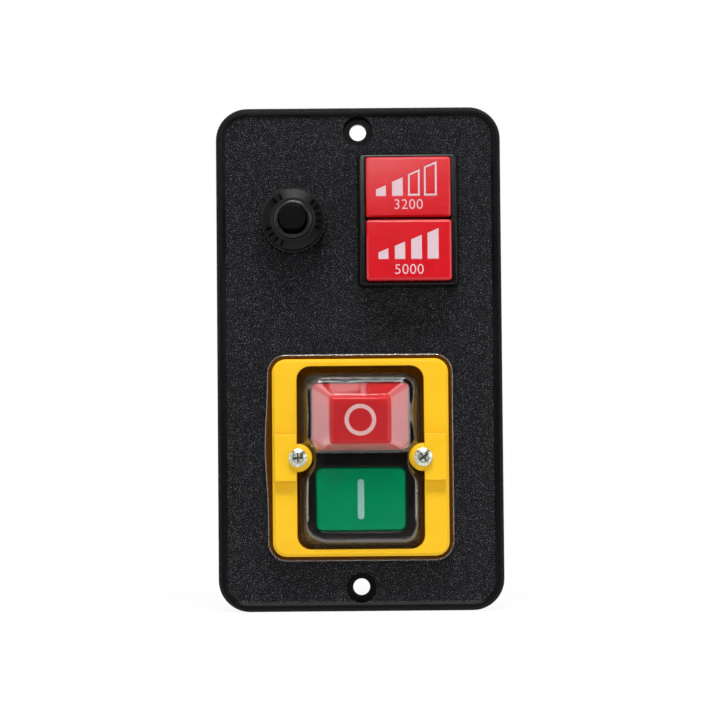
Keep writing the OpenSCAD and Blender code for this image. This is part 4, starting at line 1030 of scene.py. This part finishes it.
@dataclass
class Studio:
    """Camera, lamps, floor and surroundings. The camera's turn is in degrees."""

    camera_place: Point = (-0.002237, -0.685526, -0.02292)
    camera_turn: Point = (91.8957, 0.4997, -0.1783)
    focal_length: float = 110.15
    sensor_width: float = 36.0
    clip_start: float = 0.01
    sky: tuple[float, ...] = (0.98, 0.99, 1.0, 1.0)
    ambient: float = 0.28
    floor_size: float = 8.0
    floor_tones: tuple[Colour, Colour] = ((0.97, 0.97, 0.97), (0.95, 0.955, 0.96))
    floor_mottle: Noise = Noise(14.0, 3.0)
    floor_white: Ramp = ((0.1, 0.3), (0.89, 1.0))
    card_x: float = 0.48
    card_from_y: float = -0.28
    card_side_y: float = -0.13
    card_y: float = -1.0
    card_top: float = 0.72
    card_lift: float = 0.001
    card_tones: tuple[Colour, Colour] = ((0.012, 0.012, 0.012), (0.02, 0.02, 0.02))
    card_fibre: Noise = Noise(600.0)
    card_fade_lead: float = 0.05
    card_paleness: float = 0.9
    lamps: tuple[Lamp, ...] = (
        Lamp("front_lamp", (-0.115, -0.7, 0.207), 0.34, 0.11, 7.2),
        Lamp("top_lamp", (0.02, -0.34, 0.62), 0.4, 0.15, 28.6),
        Lamp("left_lamp", (-0.44, -0.3, 0.05), 0.06, 0.5, 4.2),
        Lamp("right_lamp", (0.44, -0.26, 0.02), 0.07, 0.5, 7.2),
        Lamp("rear_lamp", (0.1, 0.6, 0.5), 0.6, 0.6, 2.2),
    )

    def camera(self) -> None:
        """Makes the camera, at the photograph's angle."""
        data = bpy.data.cameras.new("camera")
        data.lens = self.focal_length
        data.sensor_width = self.sensor_width
        data.clip_start = self.clip_start
        camera = add_object("camera", data)
        camera.location = self.camera_place
        camera.rotation_euler = [math.radians(a) for a in self.camera_turn]
        bpy.context.scene.camera = camera

    def surround(self) -> None:
        """Makes the surroundings: white to look at, and a soft pale light."""
        world = bpy.data.worlds.new("surround")
        s = Shader(world)
        soft = s.add("ShaderNodeBackground", {"Strength": self.ambient, "Color": self.sky})
        white = s.add("ShaderNodeBackground", {"Color": WHITE})
        seen = s.seen_by(Ray.CAMERA, Ray.MIRRORED, Ray.THROUGH_GLASS)
        mixed = s.mix(seen, soft.outputs[0], white.outputs[0])
        s.add("ShaderNodeOutputWorld", {"Surface": mixed})
        bpy.context.scene.world = world

    @staticmethod
    def lay(
        name: str,
        corners: list[Point],
        faces: list[tuple[int, ...]],
        material: bpy.types.Material,
    ) -> None:
        """Adds a part of the studio.

        Args:
            name: Its name.
            corners: Its corners.
            faces: Its faces, each by the numbers of its corners.
            material: Its material.
        """
        mesh = bpy.data.meshes.new(name)
        mesh.from_pydata(corners, [], faces)
        mesh.materials.append(material)
        add_object(name, mesh)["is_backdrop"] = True

    def floor(self, level: float) -> None:
        """Lays the floor: pale, shaded near the panel and plain white far off.

        Args:
            level: Height of the floor.
        """
        s = new_material("pale_floor")
        mottle = s.remap(s.noise(self.floor_mottle), FULL_BAND)
        paint = s.matt(s.blend(mottle, *self.floor_tones))
        seen = s.seen_by(Ray.CAMERA, Ray.MIRRORED, Ray.THROUGH_GLASS)
        far = s.times(s.remap(s.distance(s.place), *self.floor_white), seen)
        half = self.floor_size / 2
        corners = [(x * half, y * half, level) for x, y in ((-1, -1), (1, -1), (1, 1), (-1, 1))]
        self.lay("floor", corners, [(0, 1, 2, 3)], s.surface(s.mix(far, paint, s.white())))

    def card(self, level: float) -> None:
        """Stands black cards behind, beside and over the camera and lays one on the floor.

        Glossy fronts would turn pale without them. They lie out of the camera's view, and they
        look white to any camera and through glass, so that no other view shows them. Mirrored,
        they turn pale towards the panel, where steep sides would show them.

        Args:
            level: Height of the floor.
        """
        s = new_material("black_felt")
        felt = s.matt(s.blend(s.remap(s.noise(self.card_fibre), FULL_BAND), *self.card_tones))
        x, y, foot, top = self.card_x, self.card_y, level + self.card_lift, self.card_top
        from_y, side_y = self.card_from_y, self.card_side_y
        fade_band = (from_y - self.card_fade_lead, side_y)
        fade = s.remap(s.along(Axis.Y), fade_band, (0.0, self.card_paleness))
        mirrored = s.times(fade, s.seen_by(Ray.MIRRORED))
        pale = s.larger(s.seen_by(Ray.CAMERA, Ray.THROUGH_GLASS), mirrored)
        corners = [
            (-x, from_y, foot), (x, from_y, foot), (x, y, foot), (-x, y, foot),
            (x, y, top), (-x, y, top),
            (-x, side_y, foot), (-x, side_y, top), (x, side_y, foot), (x, side_y, top),
        ]
        faces = [(0, 1, 2, 3), (3, 2, 4, 5), (3, 5, 7, 6), (2, 8, 9, 4), (5, 4, 9, 7)]
        self.lay("black_card", corners, faces, s.surface(s.mix(pale, felt, s.white())))

    def build(self) -> None:
        """Makes the whole studio."""
        bpy.context.scene.view_settings.view_transform = "Standard"
        self.camera()
        for lamp in self.lamps:
            lamp.hang()
        self.surround()
        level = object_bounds()[0].z
        self.floor(level)
        self.card(level)
        LOG.info("studio: %d lamps", len(self.lamps))


@dataclass
class PanelPlate:
    """The moulded plate."""

    node: str = "panel_plate"

    def build(self) -> None:
        """Dresses the plate."""
        dress(PLATE_BLACK, self.node)


class Loft:
    """Rings of points round an axis that points out of the panel."""

    def __init__(self, axis_up: float, points: list[Flat], count: int) -> None:
        """Sets the directions of the rings' points.

        Args:
            axis_up: Height of the axis above the switch's centre.
            points: A closed outline, on which the directions' targets are evenly spaced.
            count: How many points a ring has.
        """
        self.axis_up = axis_up
        lengths = [0.0]
        for a, b in zip(points, [*points[1:], points[0]]):
            lengths.append(lengths[-1] + math.dist(a, b))
        self.turns: list[float] = []
        j = 0
        for k in range(count):
            target = lengths[-1] * k / count
            while lengths[j + 1] < target:
                j += 1
            share = (target - lengths[j]) / (lengths[j + 1] - lengths[j])
            x, y = partway(points[j], points[(j + 1) % len(points)], share)
            self.turns.append(math.atan2(y - axis_up, x) % math.tau)
        self.aims = [(math.cos(a), math.sin(a)) for a in self.turns]
        self.rings: list[list[Point]] = []

    def reach(self, points: list[Flat]) -> list[float]:
        """Measures how far a closed outline is from the axis.

        Args:
            points: The outline's points.

        Returns:
            Its distances, one for each direction.
        """
        polar = sorted(
            (math.atan2(y - self.axis_up, x) % math.tau, math.hypot(x, y - self.axis_up))
            for x, y in points
        )
        first, last = polar[0], polar[-1]
        polar = [(last[0] - math.tau, last[1]), *polar, (first[0] + math.tau, first[1])]
        angles = [a for a, _ in polar]
        found = []
        for angle in self.turns:
            i = min(max(bisect.bisect_right(angles, angle), 1), len(polar) - 1)
            (a, d), (b, e) = polar[i - 1], polar[i]
            found.append(d + (e - d) * (angle - a) / max(b - a, TINY))
        return found

    def spots(self, distances: list[float]) -> list[Flat]:
        """Points across and up, one for each direction, at distances from the axis."""
        return [(c * d, self.axis_up + s * d) for (c, s), d in zip(self.aims, distances)]

    def ring(self, distances: list[float], out: float | list[float]) -> None:
        """Adds a ring.

        Args:
            distances: Distances of its points from the axis.
            out: Their height out of the back plane, one for all or one for each.
        """
        heights = out if isinstance(out, list) else [out] * len(distances)
        self.rings.append([(*p, h) for p, h in zip(self.spots(distances), heights)])

    def mesh(self, name: str, up: float) -> bpy.types.Mesh:
        """Joins the rings to one surface that faces the panel's front.

        Args:
            name: Name of the mesh.
            up: Height of the switch's centre on the panel.

        Returns:
            The mesh, closed over its last ring and open at its first.
        """
        bm = bmesh.new()
        rings = [
            [bm.verts.new(front(x, up + y, out)) for x, y, out in ring] for ring in self.rings
        ]
        pairs = [(i, (i + 1) % len(self.turns)) for i in range(len(self.turns))]
        for low, high in zip(rings, rings[1:]):
            for i, j in pairs:
                bm.faces.new((low[i], low[j], high[j], high[i]))
        tip = bm.verts.new(front(0, up + self.axis_up, self.rings[-1][0][2]))
        for i, j in pairs:
            bm.faces.new((rings[-1][i], rings[-1][j], tip))
        bmesh.ops.recalc_face_normals(bm, faces=bm.faces)
        if sum(f.normal.y * f.calc_area() for f in bm.faces) > 0:
            bmesh.ops.reverse_faces(bm, faces=bm.faces)
        made = bpy.data.meshes.new(name)
        bm.to_mesh(made)
        bm.free()
        return made


@dataclass
class ClearBoot:
    """The clear boot over both buttons, as one soft shell of even wall.

    An outline is given by its width, height and corner radius. What ends in up is a height above
    the switch's centre, and what ends in out is a height out of the back plane. Steps and turns
    say where the rings of each stretch lie, as shares of it or in degrees round an edge; the
    slope's steps are mirrored about its middle.
    """

    box: NodeBox = NodeBox.of("clear_boot")
    skirt_corner: float = 0.0059
    skirt_out: float = 0.00555
    skirt_round: float = 0.0006
    skirt_turns: tuple[int, ...] = (0, 22, 45, 68, 90)
    sheet_inset: float = 0.0022
    sheet_steps: Flat = (0.4, 0.8)
    bulge: float = 0.0009
    bulge_from: float = 5 / 6
    bulge_up: float = 0.0035
    bulge_reach: float = 0.0125
    steepest: float = 0.5
    root: Point = (0.0361, 0.0521, 0.0038)
    root_up: float = -0.0009
    root_notch: float = 0.0044
    bead_width: float = 0.0009
    bead_height: float = 0.00016
    bead_steps: int = 8
    top: Point = (0.0347, 0.0507, 0.0034)
    top_notch: float = 0.008
    notch_easing: tuple[int, ...] = (1, 4) * 12
    wall_steps: tuple[Flat, ...] = (
        (0.03, 0.04), (0.1, 0.12), (0.2, 0.25), (0.4, 0.5), (0.7, 0.8), (1.0, 1.0),
    )
    lean_left: float = 0.0009
    lean_cover: Flat = (0.0002, 0.0014)
    lean_up: float = 0.0138
    lean_reach: float = 0.0075
    lean_from_x: float = 0.011
    lean_over_x: float = 0.004
    dome_out: float = 0.0133
    edge_above: float = 0.0006
    edge_below: float = 0.002
    edge_from_up: float = -0.018
    edge_over_up: float = 0.007
    edge_turns: tuple[int, ...] = (12, 25, 38, 51, 64, 77, 90)
    face_steps: int = 10
    cover_up: float = 0.0124
    cover_foot: Point = (0.0304, 0.022, 0.0026)
    cover_top: Point = (0.019, 0.0152, 0.0016)
    cover_drop: float = 0.0009
    cover_out: float = 0.0182
    cover_margin: float = 0.00035
    face_margin: float = 0.0001
    slope_steps: tuple[float, ...] = (
        -0.06, -0.035, -0.02, -0.01, 0.0, 0.01, 0.02, 0.035, 0.06, 0.12, 0.25,
    )
    crown_steps: int = 12
    ease: float = 0.022
    wall: float = 0.0005
    around: int = 360
    fineness: int = 1440

    def outline_reach(self, angle: float, size: Point, notch: float) -> float:
        """Distance from the centre to an outline in one direction.

        Args:
            angle: Direction in radians.
            size: Width, height and corner radius of the outline.
            notch: Radius of the waist at each screw, or 0 for none.

        Returns:
            The distance in metres.
        """
        w, h, r = size
        c, s = abs(math.cos(angle)), abs(math.sin(angle))
        far = min(w / 2 / max(c, TINY), h / 2 / max(s, TINY))
        corner_x, corner_y = w / 2 - r, h / 2 - r
        if far * c > corner_x and far * s > corner_y:
            along = corner_x * c + corner_y * s
            far = along + math.sqrt(max(along**2 - corner_x**2 - corner_y**2 + r**2, 0.0))
        if notch > 0:
            middle = SCREW_X + notch - self.root_notch
            along = middle * c
            gap = along**2 - middle**2 + notch**2
            if gap > 0:
                far = min(far, along - math.sqrt(gap))
        return far

    def outline(self, size: Point, notch: float = 0.0, up: float = 0.0) -> list[Flat]:
        """Closed outline of many points.

        Args:
            size: Width, height and corner radius.
            notch: Radius of the waist at each screw, or 0 for none.
            up: Height of its centre.

        Returns:
            Its points, the waist's corners eased.
        """
        count = self.fineness
        turns = [math.tau * i / count for i in range(count)]
        reach = [self.outline_reach(a, size, notch) for a in turns]
        for step in self.notch_easing if notch > 0 else ():
            reach = [
                (reach[i - step] + 2 * reach[i] + reach[(i + step) % count]) / 4
                for i in range(count)
            ]
        return [(d * math.cos(a), up + d * math.sin(a)) for a, d in zip(turns, reach)]

    def edge_radius(self, up: float) -> float:
        """Radius of the dome's front edge, larger below the start button.

        Args:
            up: Height above the switch's centre.

        Returns:
            The radius in metres.
        """
        share = clamped((self.edge_from_up - up) / self.edge_over_up)
        share = share * share * (3 - 2 * share)
        return self.edge_above + (self.edge_below - self.edge_above) * share

    def lean(self, x: float, up: float) -> float:
        """How much further in than its draft a side of the dome leans, most beside the cover.

        Args:
            x: Distance to the right of the switch's centre.
            up: Height above it.

        Returns:
            The lean in metres.
        """
        beside = bell(up - self.lean_up, self.lean_reach)
        left, right = self.lean_cover
        inward = self.lean_left + left * beside if x < 0 else right * beside
        return inward * clamped((abs(x) - self.lean_from_x) / self.lean_over_x)

    def eased(self, share: float) -> float:
        """Rise from 0 to 1 over a slope, its foot and its brow rounded."""
        low = (share + math.hypot(share, self.ease)) / 2
        return 1 - (1 - low + math.hypot(1 - low, self.ease)) / 2

    def swell(self, x: float, up: float) -> float:
        """How far the skirt's left side bulges."""
        side = clamped((-2 * x / self.box.size[0] - self.bulge_from) / (1 - self.bulge_from))
        return self.bulge * side * bell(up - self.bulge_up, self.bulge_reach)

    def skirt_rings(self, loft: Loft) -> list[float]:
        """Adds the rings of the skirt and its rounded edge.

        Args:
            loft: What takes the rings.

        Returns:
            The last ring's distances from the loft's axis.
        """
        w, _, h = self.box.size
        steps = [(0.0, self.skirt_out)]
        for turn in map(math.radians, self.skirt_turns):
            inset = self.skirt_round * (1 - math.cos(turn))
            steps.append((inset, -SHEET_Y - self.skirt_round * (1 - math.sin(turn))))
        for inset, out in (*steps, (self.sheet_inset, -SHEET_Y)):
            size = (w - 2 * inset, h - 2 * inset, self.skirt_corner - inset)
            rim = loft.reach(self.outline(size))
            rim = [
                d + self.swell(*spot) / max(-aim[0], self.steepest)
                for d, spot, aim in zip(rim, loft.spots(rim), loft.aims)
            ]
            loft.ring(rim, out)
        return rim

    def wall_rings(self, loft: Loft, skirt: list[float]) -> list[float]:
        """Adds the rings of the sheet, the dome's wall and its rounded front edge.

        Args:
            loft: What takes the rings.
            skirt: Distances of the skirt's last ring.

        Returns:
            Distances of the dome's flat face.
        """
        sheet = -SHEET_Y
        root = loft.reach(self.outline(self.root, self.root_notch, self.root_up))
        top = loft.reach(self.outline(self.top, self.top_notch, self.root_up))
        top = [d - self.lean(*spot) for d, spot in zip(top, loft.spots(top))]
        brim = [d + self.bead_width for d in root]
        for share in self.sheet_steps:
            loft.ring(partway(skirt, brim, share), sheet)
        for share in (i / self.bead_steps for i in range(self.bead_steps)):
            bead = self.bead_height * math.sin(math.pi * share) ** 2
            loft.ring(partway(brim, root, share), sheet + bead)
        radii = [self.edge_radius(up) for _, up in loft.spots(top)]
        for share, rise in self.wall_steps:
            heights = [sheet + (self.dome_out - r - sheet) * rise for r in radii]
            loft.ring(partway(root, top, share), heights)
        for turn in map(math.radians, self.edge_turns):
            edge = [d - r * (1 - math.cos(turn)) for d, r in zip(top, radii)]
            loft.ring(edge, [self.dome_out - r * (1 - math.sin(turn)) for r in radii])
        return [d - r for d, r in zip(top, radii)]

    def cover_rings(self, loft: Loft, flat: list[float]) -> None:
        """Adds the rings of the dome's flat face and of the cover over the stop button.

        Args:
            loft: What takes the rings.
            flat: Distances of the flat face.
        """
        brow_up = self.cover_up - self.cover_drop
        foot = loft.reach(self.outline(self.cover_foot, up=self.cover_up))
        brow = loft.reach(self.outline(self.cover_top, up=brow_up))
        foot = [min(a, b - self.cover_margin) for a, b in zip(foot, flat)]
        overrun = -self.slope_steps[0]
        start = partway(foot, brow, -overrun)
        start = [min(a, b - self.face_margin) for a, b in zip(start, flat)]
        for i in range(1, self.face_steps):
            loft.ring(partway(flat, start, i / self.face_steps), self.dome_out)
        upper = [1 - share for share in reversed(self.slope_steps)]
        for share in (*self.slope_steps, 0.5, *upper):
            slope = [min(a, b) for a, b in zip(partway(foot, brow, share), flat)]
            rise = self.cover_out - self.dome_out
            loft.ring(slope, self.dome_out + rise * self.eased(share))
        last = partway(foot, brow, 1 + overrun)
        for i in range(1, self.crown_steps):
            loft.ring([d * (1 - i / self.crown_steps) for d in last], self.cover_out)

    def shell(self) -> bpy.types.Mesh:
        """Makes the shell with its wall.

        Returns:
            Its mesh, in place.
        """
        loft = Loft(self.cover_up, self.outline(self.root, self.root_notch), self.around)
        skirt = self.skirt_rings(loft)
        flat = self.wall_rings(loft, skirt)
        self.cover_rings(loft, flat)
        holder = add_object("boot_holder", loft.mesh("boot_surface", self.box.middle[2]))
        wall = holder.modifiers.new("wall", "SOLIDIFY")
        wall.thickness = self.wall
        wall.offset = -1.0
        return take_mesh(holder)

    def build(self) -> None:
        """Makes the boot in place of its plain solid."""
        boot = add_piece("boot_shell", self.shell(), SILICONE, Body.PANEL)
        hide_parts("clear_boot")


@dataclass(frozen=True)
class CoilSpring:
    """One compression spring, which stands in its plain solid's place."""

    name: str
    node: str
    wire: float
    turns: float
    travel: Travel
    keep: float


@dataclass
class Springs:
    """All the springs, wound by one tree."""

    steps: int = 26
    section_steps: int = 10
    closed: float = 0.75
    coils: tuple[CoilSpring, ...] = (
        CoilSpring("stop_coil", "stop_spring", 0.0007, 6.0, Travel.STOP, 0.6875),
        CoilSpring("start_coil", "start_spring", 0.0007, 5.0, Travel.START, 0.63),
        CoilSpring(
            "carrier_coil_upper", "carrier_spring_upper", 0.0005, 5.0, Travel.CARRIER, 0.5385
        ),
        CoilSpring(
            "carrier_coil_lower", "carrier_spring_lower", 0.0005, 5.0, Travel.CARRIER, 0.5385
        ),
        CoilSpring("reset_coil", "reset_spring", 0.0006, 6.0, Travel.RESET, 0.643),
    )

    def sizes(self, coil: CoilSpring) -> dict[str, float]:
        """The tree's inputs for one spring, whose width and length are those of its solid.

        Args:
            coil: The spring.

        Returns:
            The inputs' values by name.
        """
        width, length, _ = NodeBox.of(coil.node).size
        return {
            "Radius": (width - coil.wire) / 2, "Wire": coil.wire, "Turns": coil.turns,
            "Length": length, "Closed": self.closed,
        }

    def tree(self) -> NodeBuilder:
        """Makes the tree that winds a spring with closed end turns along Z.

        Returns:
            The tree, whose inputs are a spring's sizes.
        """
        b = NodeBuilder("wind_coil", self.sizes(self.coils[0]))
        radius, wire, turns = b.size("Radius"), b.size("Wire"), b.size("Turns")
        spiral = b.add(
            "GeometryNodeCurveSpiral",
            {"Resolution": self.steps, "Rotations": turns, "Start Radius": radius,
             "End Radius": radius, "Height": 1.0},
        )
        x, y, share = b.split(b.add("GeometryNodeInputPosition").outputs[0])
        closed = b.over(b.size("Closed"), turns)
        end_rise = b.times(b.times(wire, b.size("Closed")), 0.5)
        free = b.minus(b.minus(b.size("Length"), wire), b.times(end_rise, 2.0))
        low = b.times(b.over(b.smaller(share, closed), closed), end_rise)
        opened = b.over(b.minus(share, closed), b.minus(1.0, b.times(closed, 2.0)))
        middle = b.times(b.smaller(b.larger(opened, 0.0), 1.0), free)
        past = b.larger(b.minus(share, b.minus(1.0, closed)), 0.0)
        top = b.times(b.over(past, closed), end_rise)
        rise = b.plus(b.plus(b.plus(low, middle), top), b.times(wire, 0.5))
        wound = b.add("GeometryNodeSetPosition", {0: spiral.outputs[0], 2: b.join(x, y, rise)})
        section = b.add(
            "GeometryNodeCurvePrimitiveCircle",
            {"Resolution": self.section_steps, "Radius": b.times(wire, 0.5)},
            mode="RADIUS",
        )
        tube = b.add(
            "GeometryNodeCurveToMesh",
            {0: wound.outputs[0], 1: section.outputs[0], "Fill Caps": True},
        )
        b.finish(tube.outputs[0], SPRING_STEEL)
        return b

    def build(self) -> None:
        """Winds each spring in place of its plain solid."""
        tree = self.tree()
        for c in self.coils:
            box = NodeBox.of(c.node)
            x, _, up = box.middle
            back = box.high[1]
            mesh = tree.mesh(c.name, self.sizes(c))
            mesh.transform(standing(x, up, -back))
            coil = add_piece(c.name, mesh, SPRING_STEEL, Body.PANEL)
            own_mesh(coil)
            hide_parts(c.node)


@dataclass
class MagneticSwitch:
    """The start and stop switch without its boot and springs."""

    main_terminals: int = 4

    def build(self) -> None:
        """Dresses the switch."""
        dress(CASE_BLACK, "switch_case")
        dress(COVER_BLACK, "switch_base")
        dress(YELLOW, "yellow_frame")
        dress(ZINC, "base_screws")
        dress(HEAD_ZINC, "frame_screw_left", "frame_screw_right")
        dress(SPRING_STEEL, "stop_retainer", "start_retainer")
        dress(STOP_RED, "stop_button")
        dress(MARK_WHITE, "stop_mark")
        dress(START_GREEN, "start_button")
        dress(MARK_GREEN, "start_mark")
        dress(CONTACT_COPPER, "stop_bridge", "moving_contact_left", "moving_contact_right")
        dress(BRASS, "stop_terminal_left", "stop_terminal_right")
        dress(BRASS, *(f"main_terminal_{i + 1}" for i in range(self.main_terminals)))
        dress(CARRIER, "contact_carrier")
        dress(CORE_STEEL, "armature", "magnet_core")
        dress(BOBBIN, "coil_bobbin")
        dress(COIL_COPPER, "coil_winding")


@dataclass(frozen=True)
class KeyNumber:
    """A plain number on a button, and how far below the button's middle it stands."""

    name: str
    digits: str
    button: str
    drop: float
    body: Body


@dataclass
class SpeedSelector:
    """The two-button speed selector, with the plain numbers printed on its buttons."""

    number_height: float = 0.003
    stroke_offset: float = -0.006
    spacing: float = 1.06
    fineness: int = 6
    ink: float = 0.00004
    ink_sunk: float = 0.00001
    numbers: tuple[KeyNumber, ...] = (
        KeyNumber("low_speed_number", "3200", "low_speed_button", 0.00535, Body.LOW_KEY),
        KeyNumber("high_speed_number", "5000", "high_speed_button", 0.0059, Body.HIGH_KEY),
    )

    def print_number(self, number: KeyNumber) -> None:
        """Prints one number on its button.

        Args:
            number: The number.
        """
        curve = bpy.data.curves.new(number.name, "FONT")
        curve.body = number.digits
        curve.align_x = "CENTER"
        curve.align_y = "CENTER"
        curve.offset = self.stroke_offset
        curve.space_character = self.spacing
        curve.resolution_u = self.fineness
        # One unit deep, for the ink's thickness to scale
        curve.extrude = 0.5
        mesh = take_mesh(add_object(number.name, curve))
        heights = [v.co.y for v in mesh.vertices]
        scale = self.number_height / (max(heights) - min(heights))
        middle = (max(heights) + min(heights)) / 2
        box = NodeBox.of(number.button)
        x, _, up = box.middle
        place = standing(x, up - number.drop, -box.low[1] + self.ink / 2 - self.ink_sunk)
        size = Matrix.Diagonal((scale, scale, self.ink, 1.0))
        mesh.transform(place @ size @ Matrix.Translation((0.0, -middle, 0.0)))
        add_piece(number.name, mesh, KEY_WHITE, number.body, smooth=False)

    def build(self) -> None:
        """Dresses the selector and prints its numbers."""
        dress(CASE_BLACK, "selector_case")
        dress(COVER_BLACK, "selector_base")
        dress(KEY_RED, "low_speed_button", "high_speed_button")
        dress(KEY_WHITE, "low_speed_marks", "high_speed_marks")
        dress(ROCKER_WHITE, "selector_rocker")
        dress(SPRING_STEEL, "rocker_pin")
        dress(CONTACT_COPPER, "rocker_contact")
        dress(BRASS, *(f"selector_terminal_{n}" for n in ("low", "common", "high")))
        for number in self.numbers:
            self.print_number(number)


@dataclass
class ResetBreaker:
    """The overload breaker, with the raised ticks on its nut's sloping face.

    Angles are in degrees. A group of ticks is given by its middle's direction and its count.
    """

    nut: str = "reset_nut"
    nut_face: float = 0.01263
    nut_slope: float = 19.8
    tick_r: float = 0.008
    tick_size: Point = (0.0017, 0.0006, 0.0008)
    tick_step: float = 15.0
    groups: tuple[tuple[float, int], ...] = ((126.0, 2), (12.0, 5), (222.0, 4))

    def tree(self) -> NodeBuilder:
        """Makes the tree that sets ticks on an arc of a cone.

        Returns:
            The tree, whose inputs are the arc's and the ticks' sizes.
        """
        b = NodeBuilder(
            "ring_of_ticks",
            {"Radius": self.tick_r, "Count": 1, "Start": 0.0, "Step": math.radians(self.tick_step),
             "Slope": math.radians(self.nut_slope), "Length": self.tick_size[0],
             "Width": self.tick_size[1], "Height": self.tick_size[2]},
        )
        index = b.add("GeometryNodeInputIndex").outputs[0]
        angle = b.plus(b.times(index, b.size("Step")), b.size("Start"))
        x, y = (b.times(b.math(wave, angle), b.size("Radius")) for wave in ("COSINE", "SINE"))
        points = b.add("GeometryNodePoints", {"Count": b.size("Count"), "Position": b.join(x, y)})
        size = b.join(b.size("Length"), b.size("Width"), b.size("Height"))
        tick = b.add("GeometryNodeMeshCube", {"Size": size})
        turn = b.join(0.0, b.size("Slope"), angle)
        placed = b.add(
            "GeometryNodeInstanceOnPoints",
            {0: points.outputs[0], 2: tick.outputs[0], "Rotation": turn},
        )
        b.finish(placed.outputs[0], TICK_BLACK)
        return b

    def ticks(self) -> None:
        """Raises the groups of short ticks on the nut's face, as one piece."""
        tree = self.tree()
        whole = bmesh.new()
        for middle, count in self.groups:
            start = math.radians(middle - (count - 1) / 2 * self.tick_step)
            whole.from_mesh(tree.mesh("ticks", {"Start": start, "Count": count}))
        made = bpy.data.meshes.new("nut_ticks")
        whole.to_mesh(made)
        whole.free()
        x, _, up = NodeBox.of(self.nut).middle
        made.transform(standing(x, up, self.nut_face))
        add_piece("nut_ticks", made, TICK_BLACK, Body.PANEL, smooth=False)

    def build(self) -> None:
        """Dresses the breaker and adds the ticks."""
        dress(CASE_BLACK, "breaker_case")
        dress(CAP_BLACK, "reset_button")
        dress(COVER_BLACK, "breaker_cover")
        dress(NUT_BLACK, self.nut)
        dress(BIMETAL, "bimetal_strip")
        dress(BRASS, "breaker_terminal_line", "breaker_terminal_load")
        self.ticks()


def main() -> None:
    """Builds the studio and every sub-assembly in order."""
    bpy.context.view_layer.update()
    parts: tuple[Built, ...] = (
        Studio(), PanelPlate(), MagneticSwitch(), ClearBoot(), Springs(), SpeedSelector(),
        ResetBreaker(),
    )
    for part in parts:
        part.build()
        LOG.info("built %s", type(part).__name__)


if __name__ == "__main__":
    logging.basicConfig(level=logging.INFO, format="%(message)s")
    main()
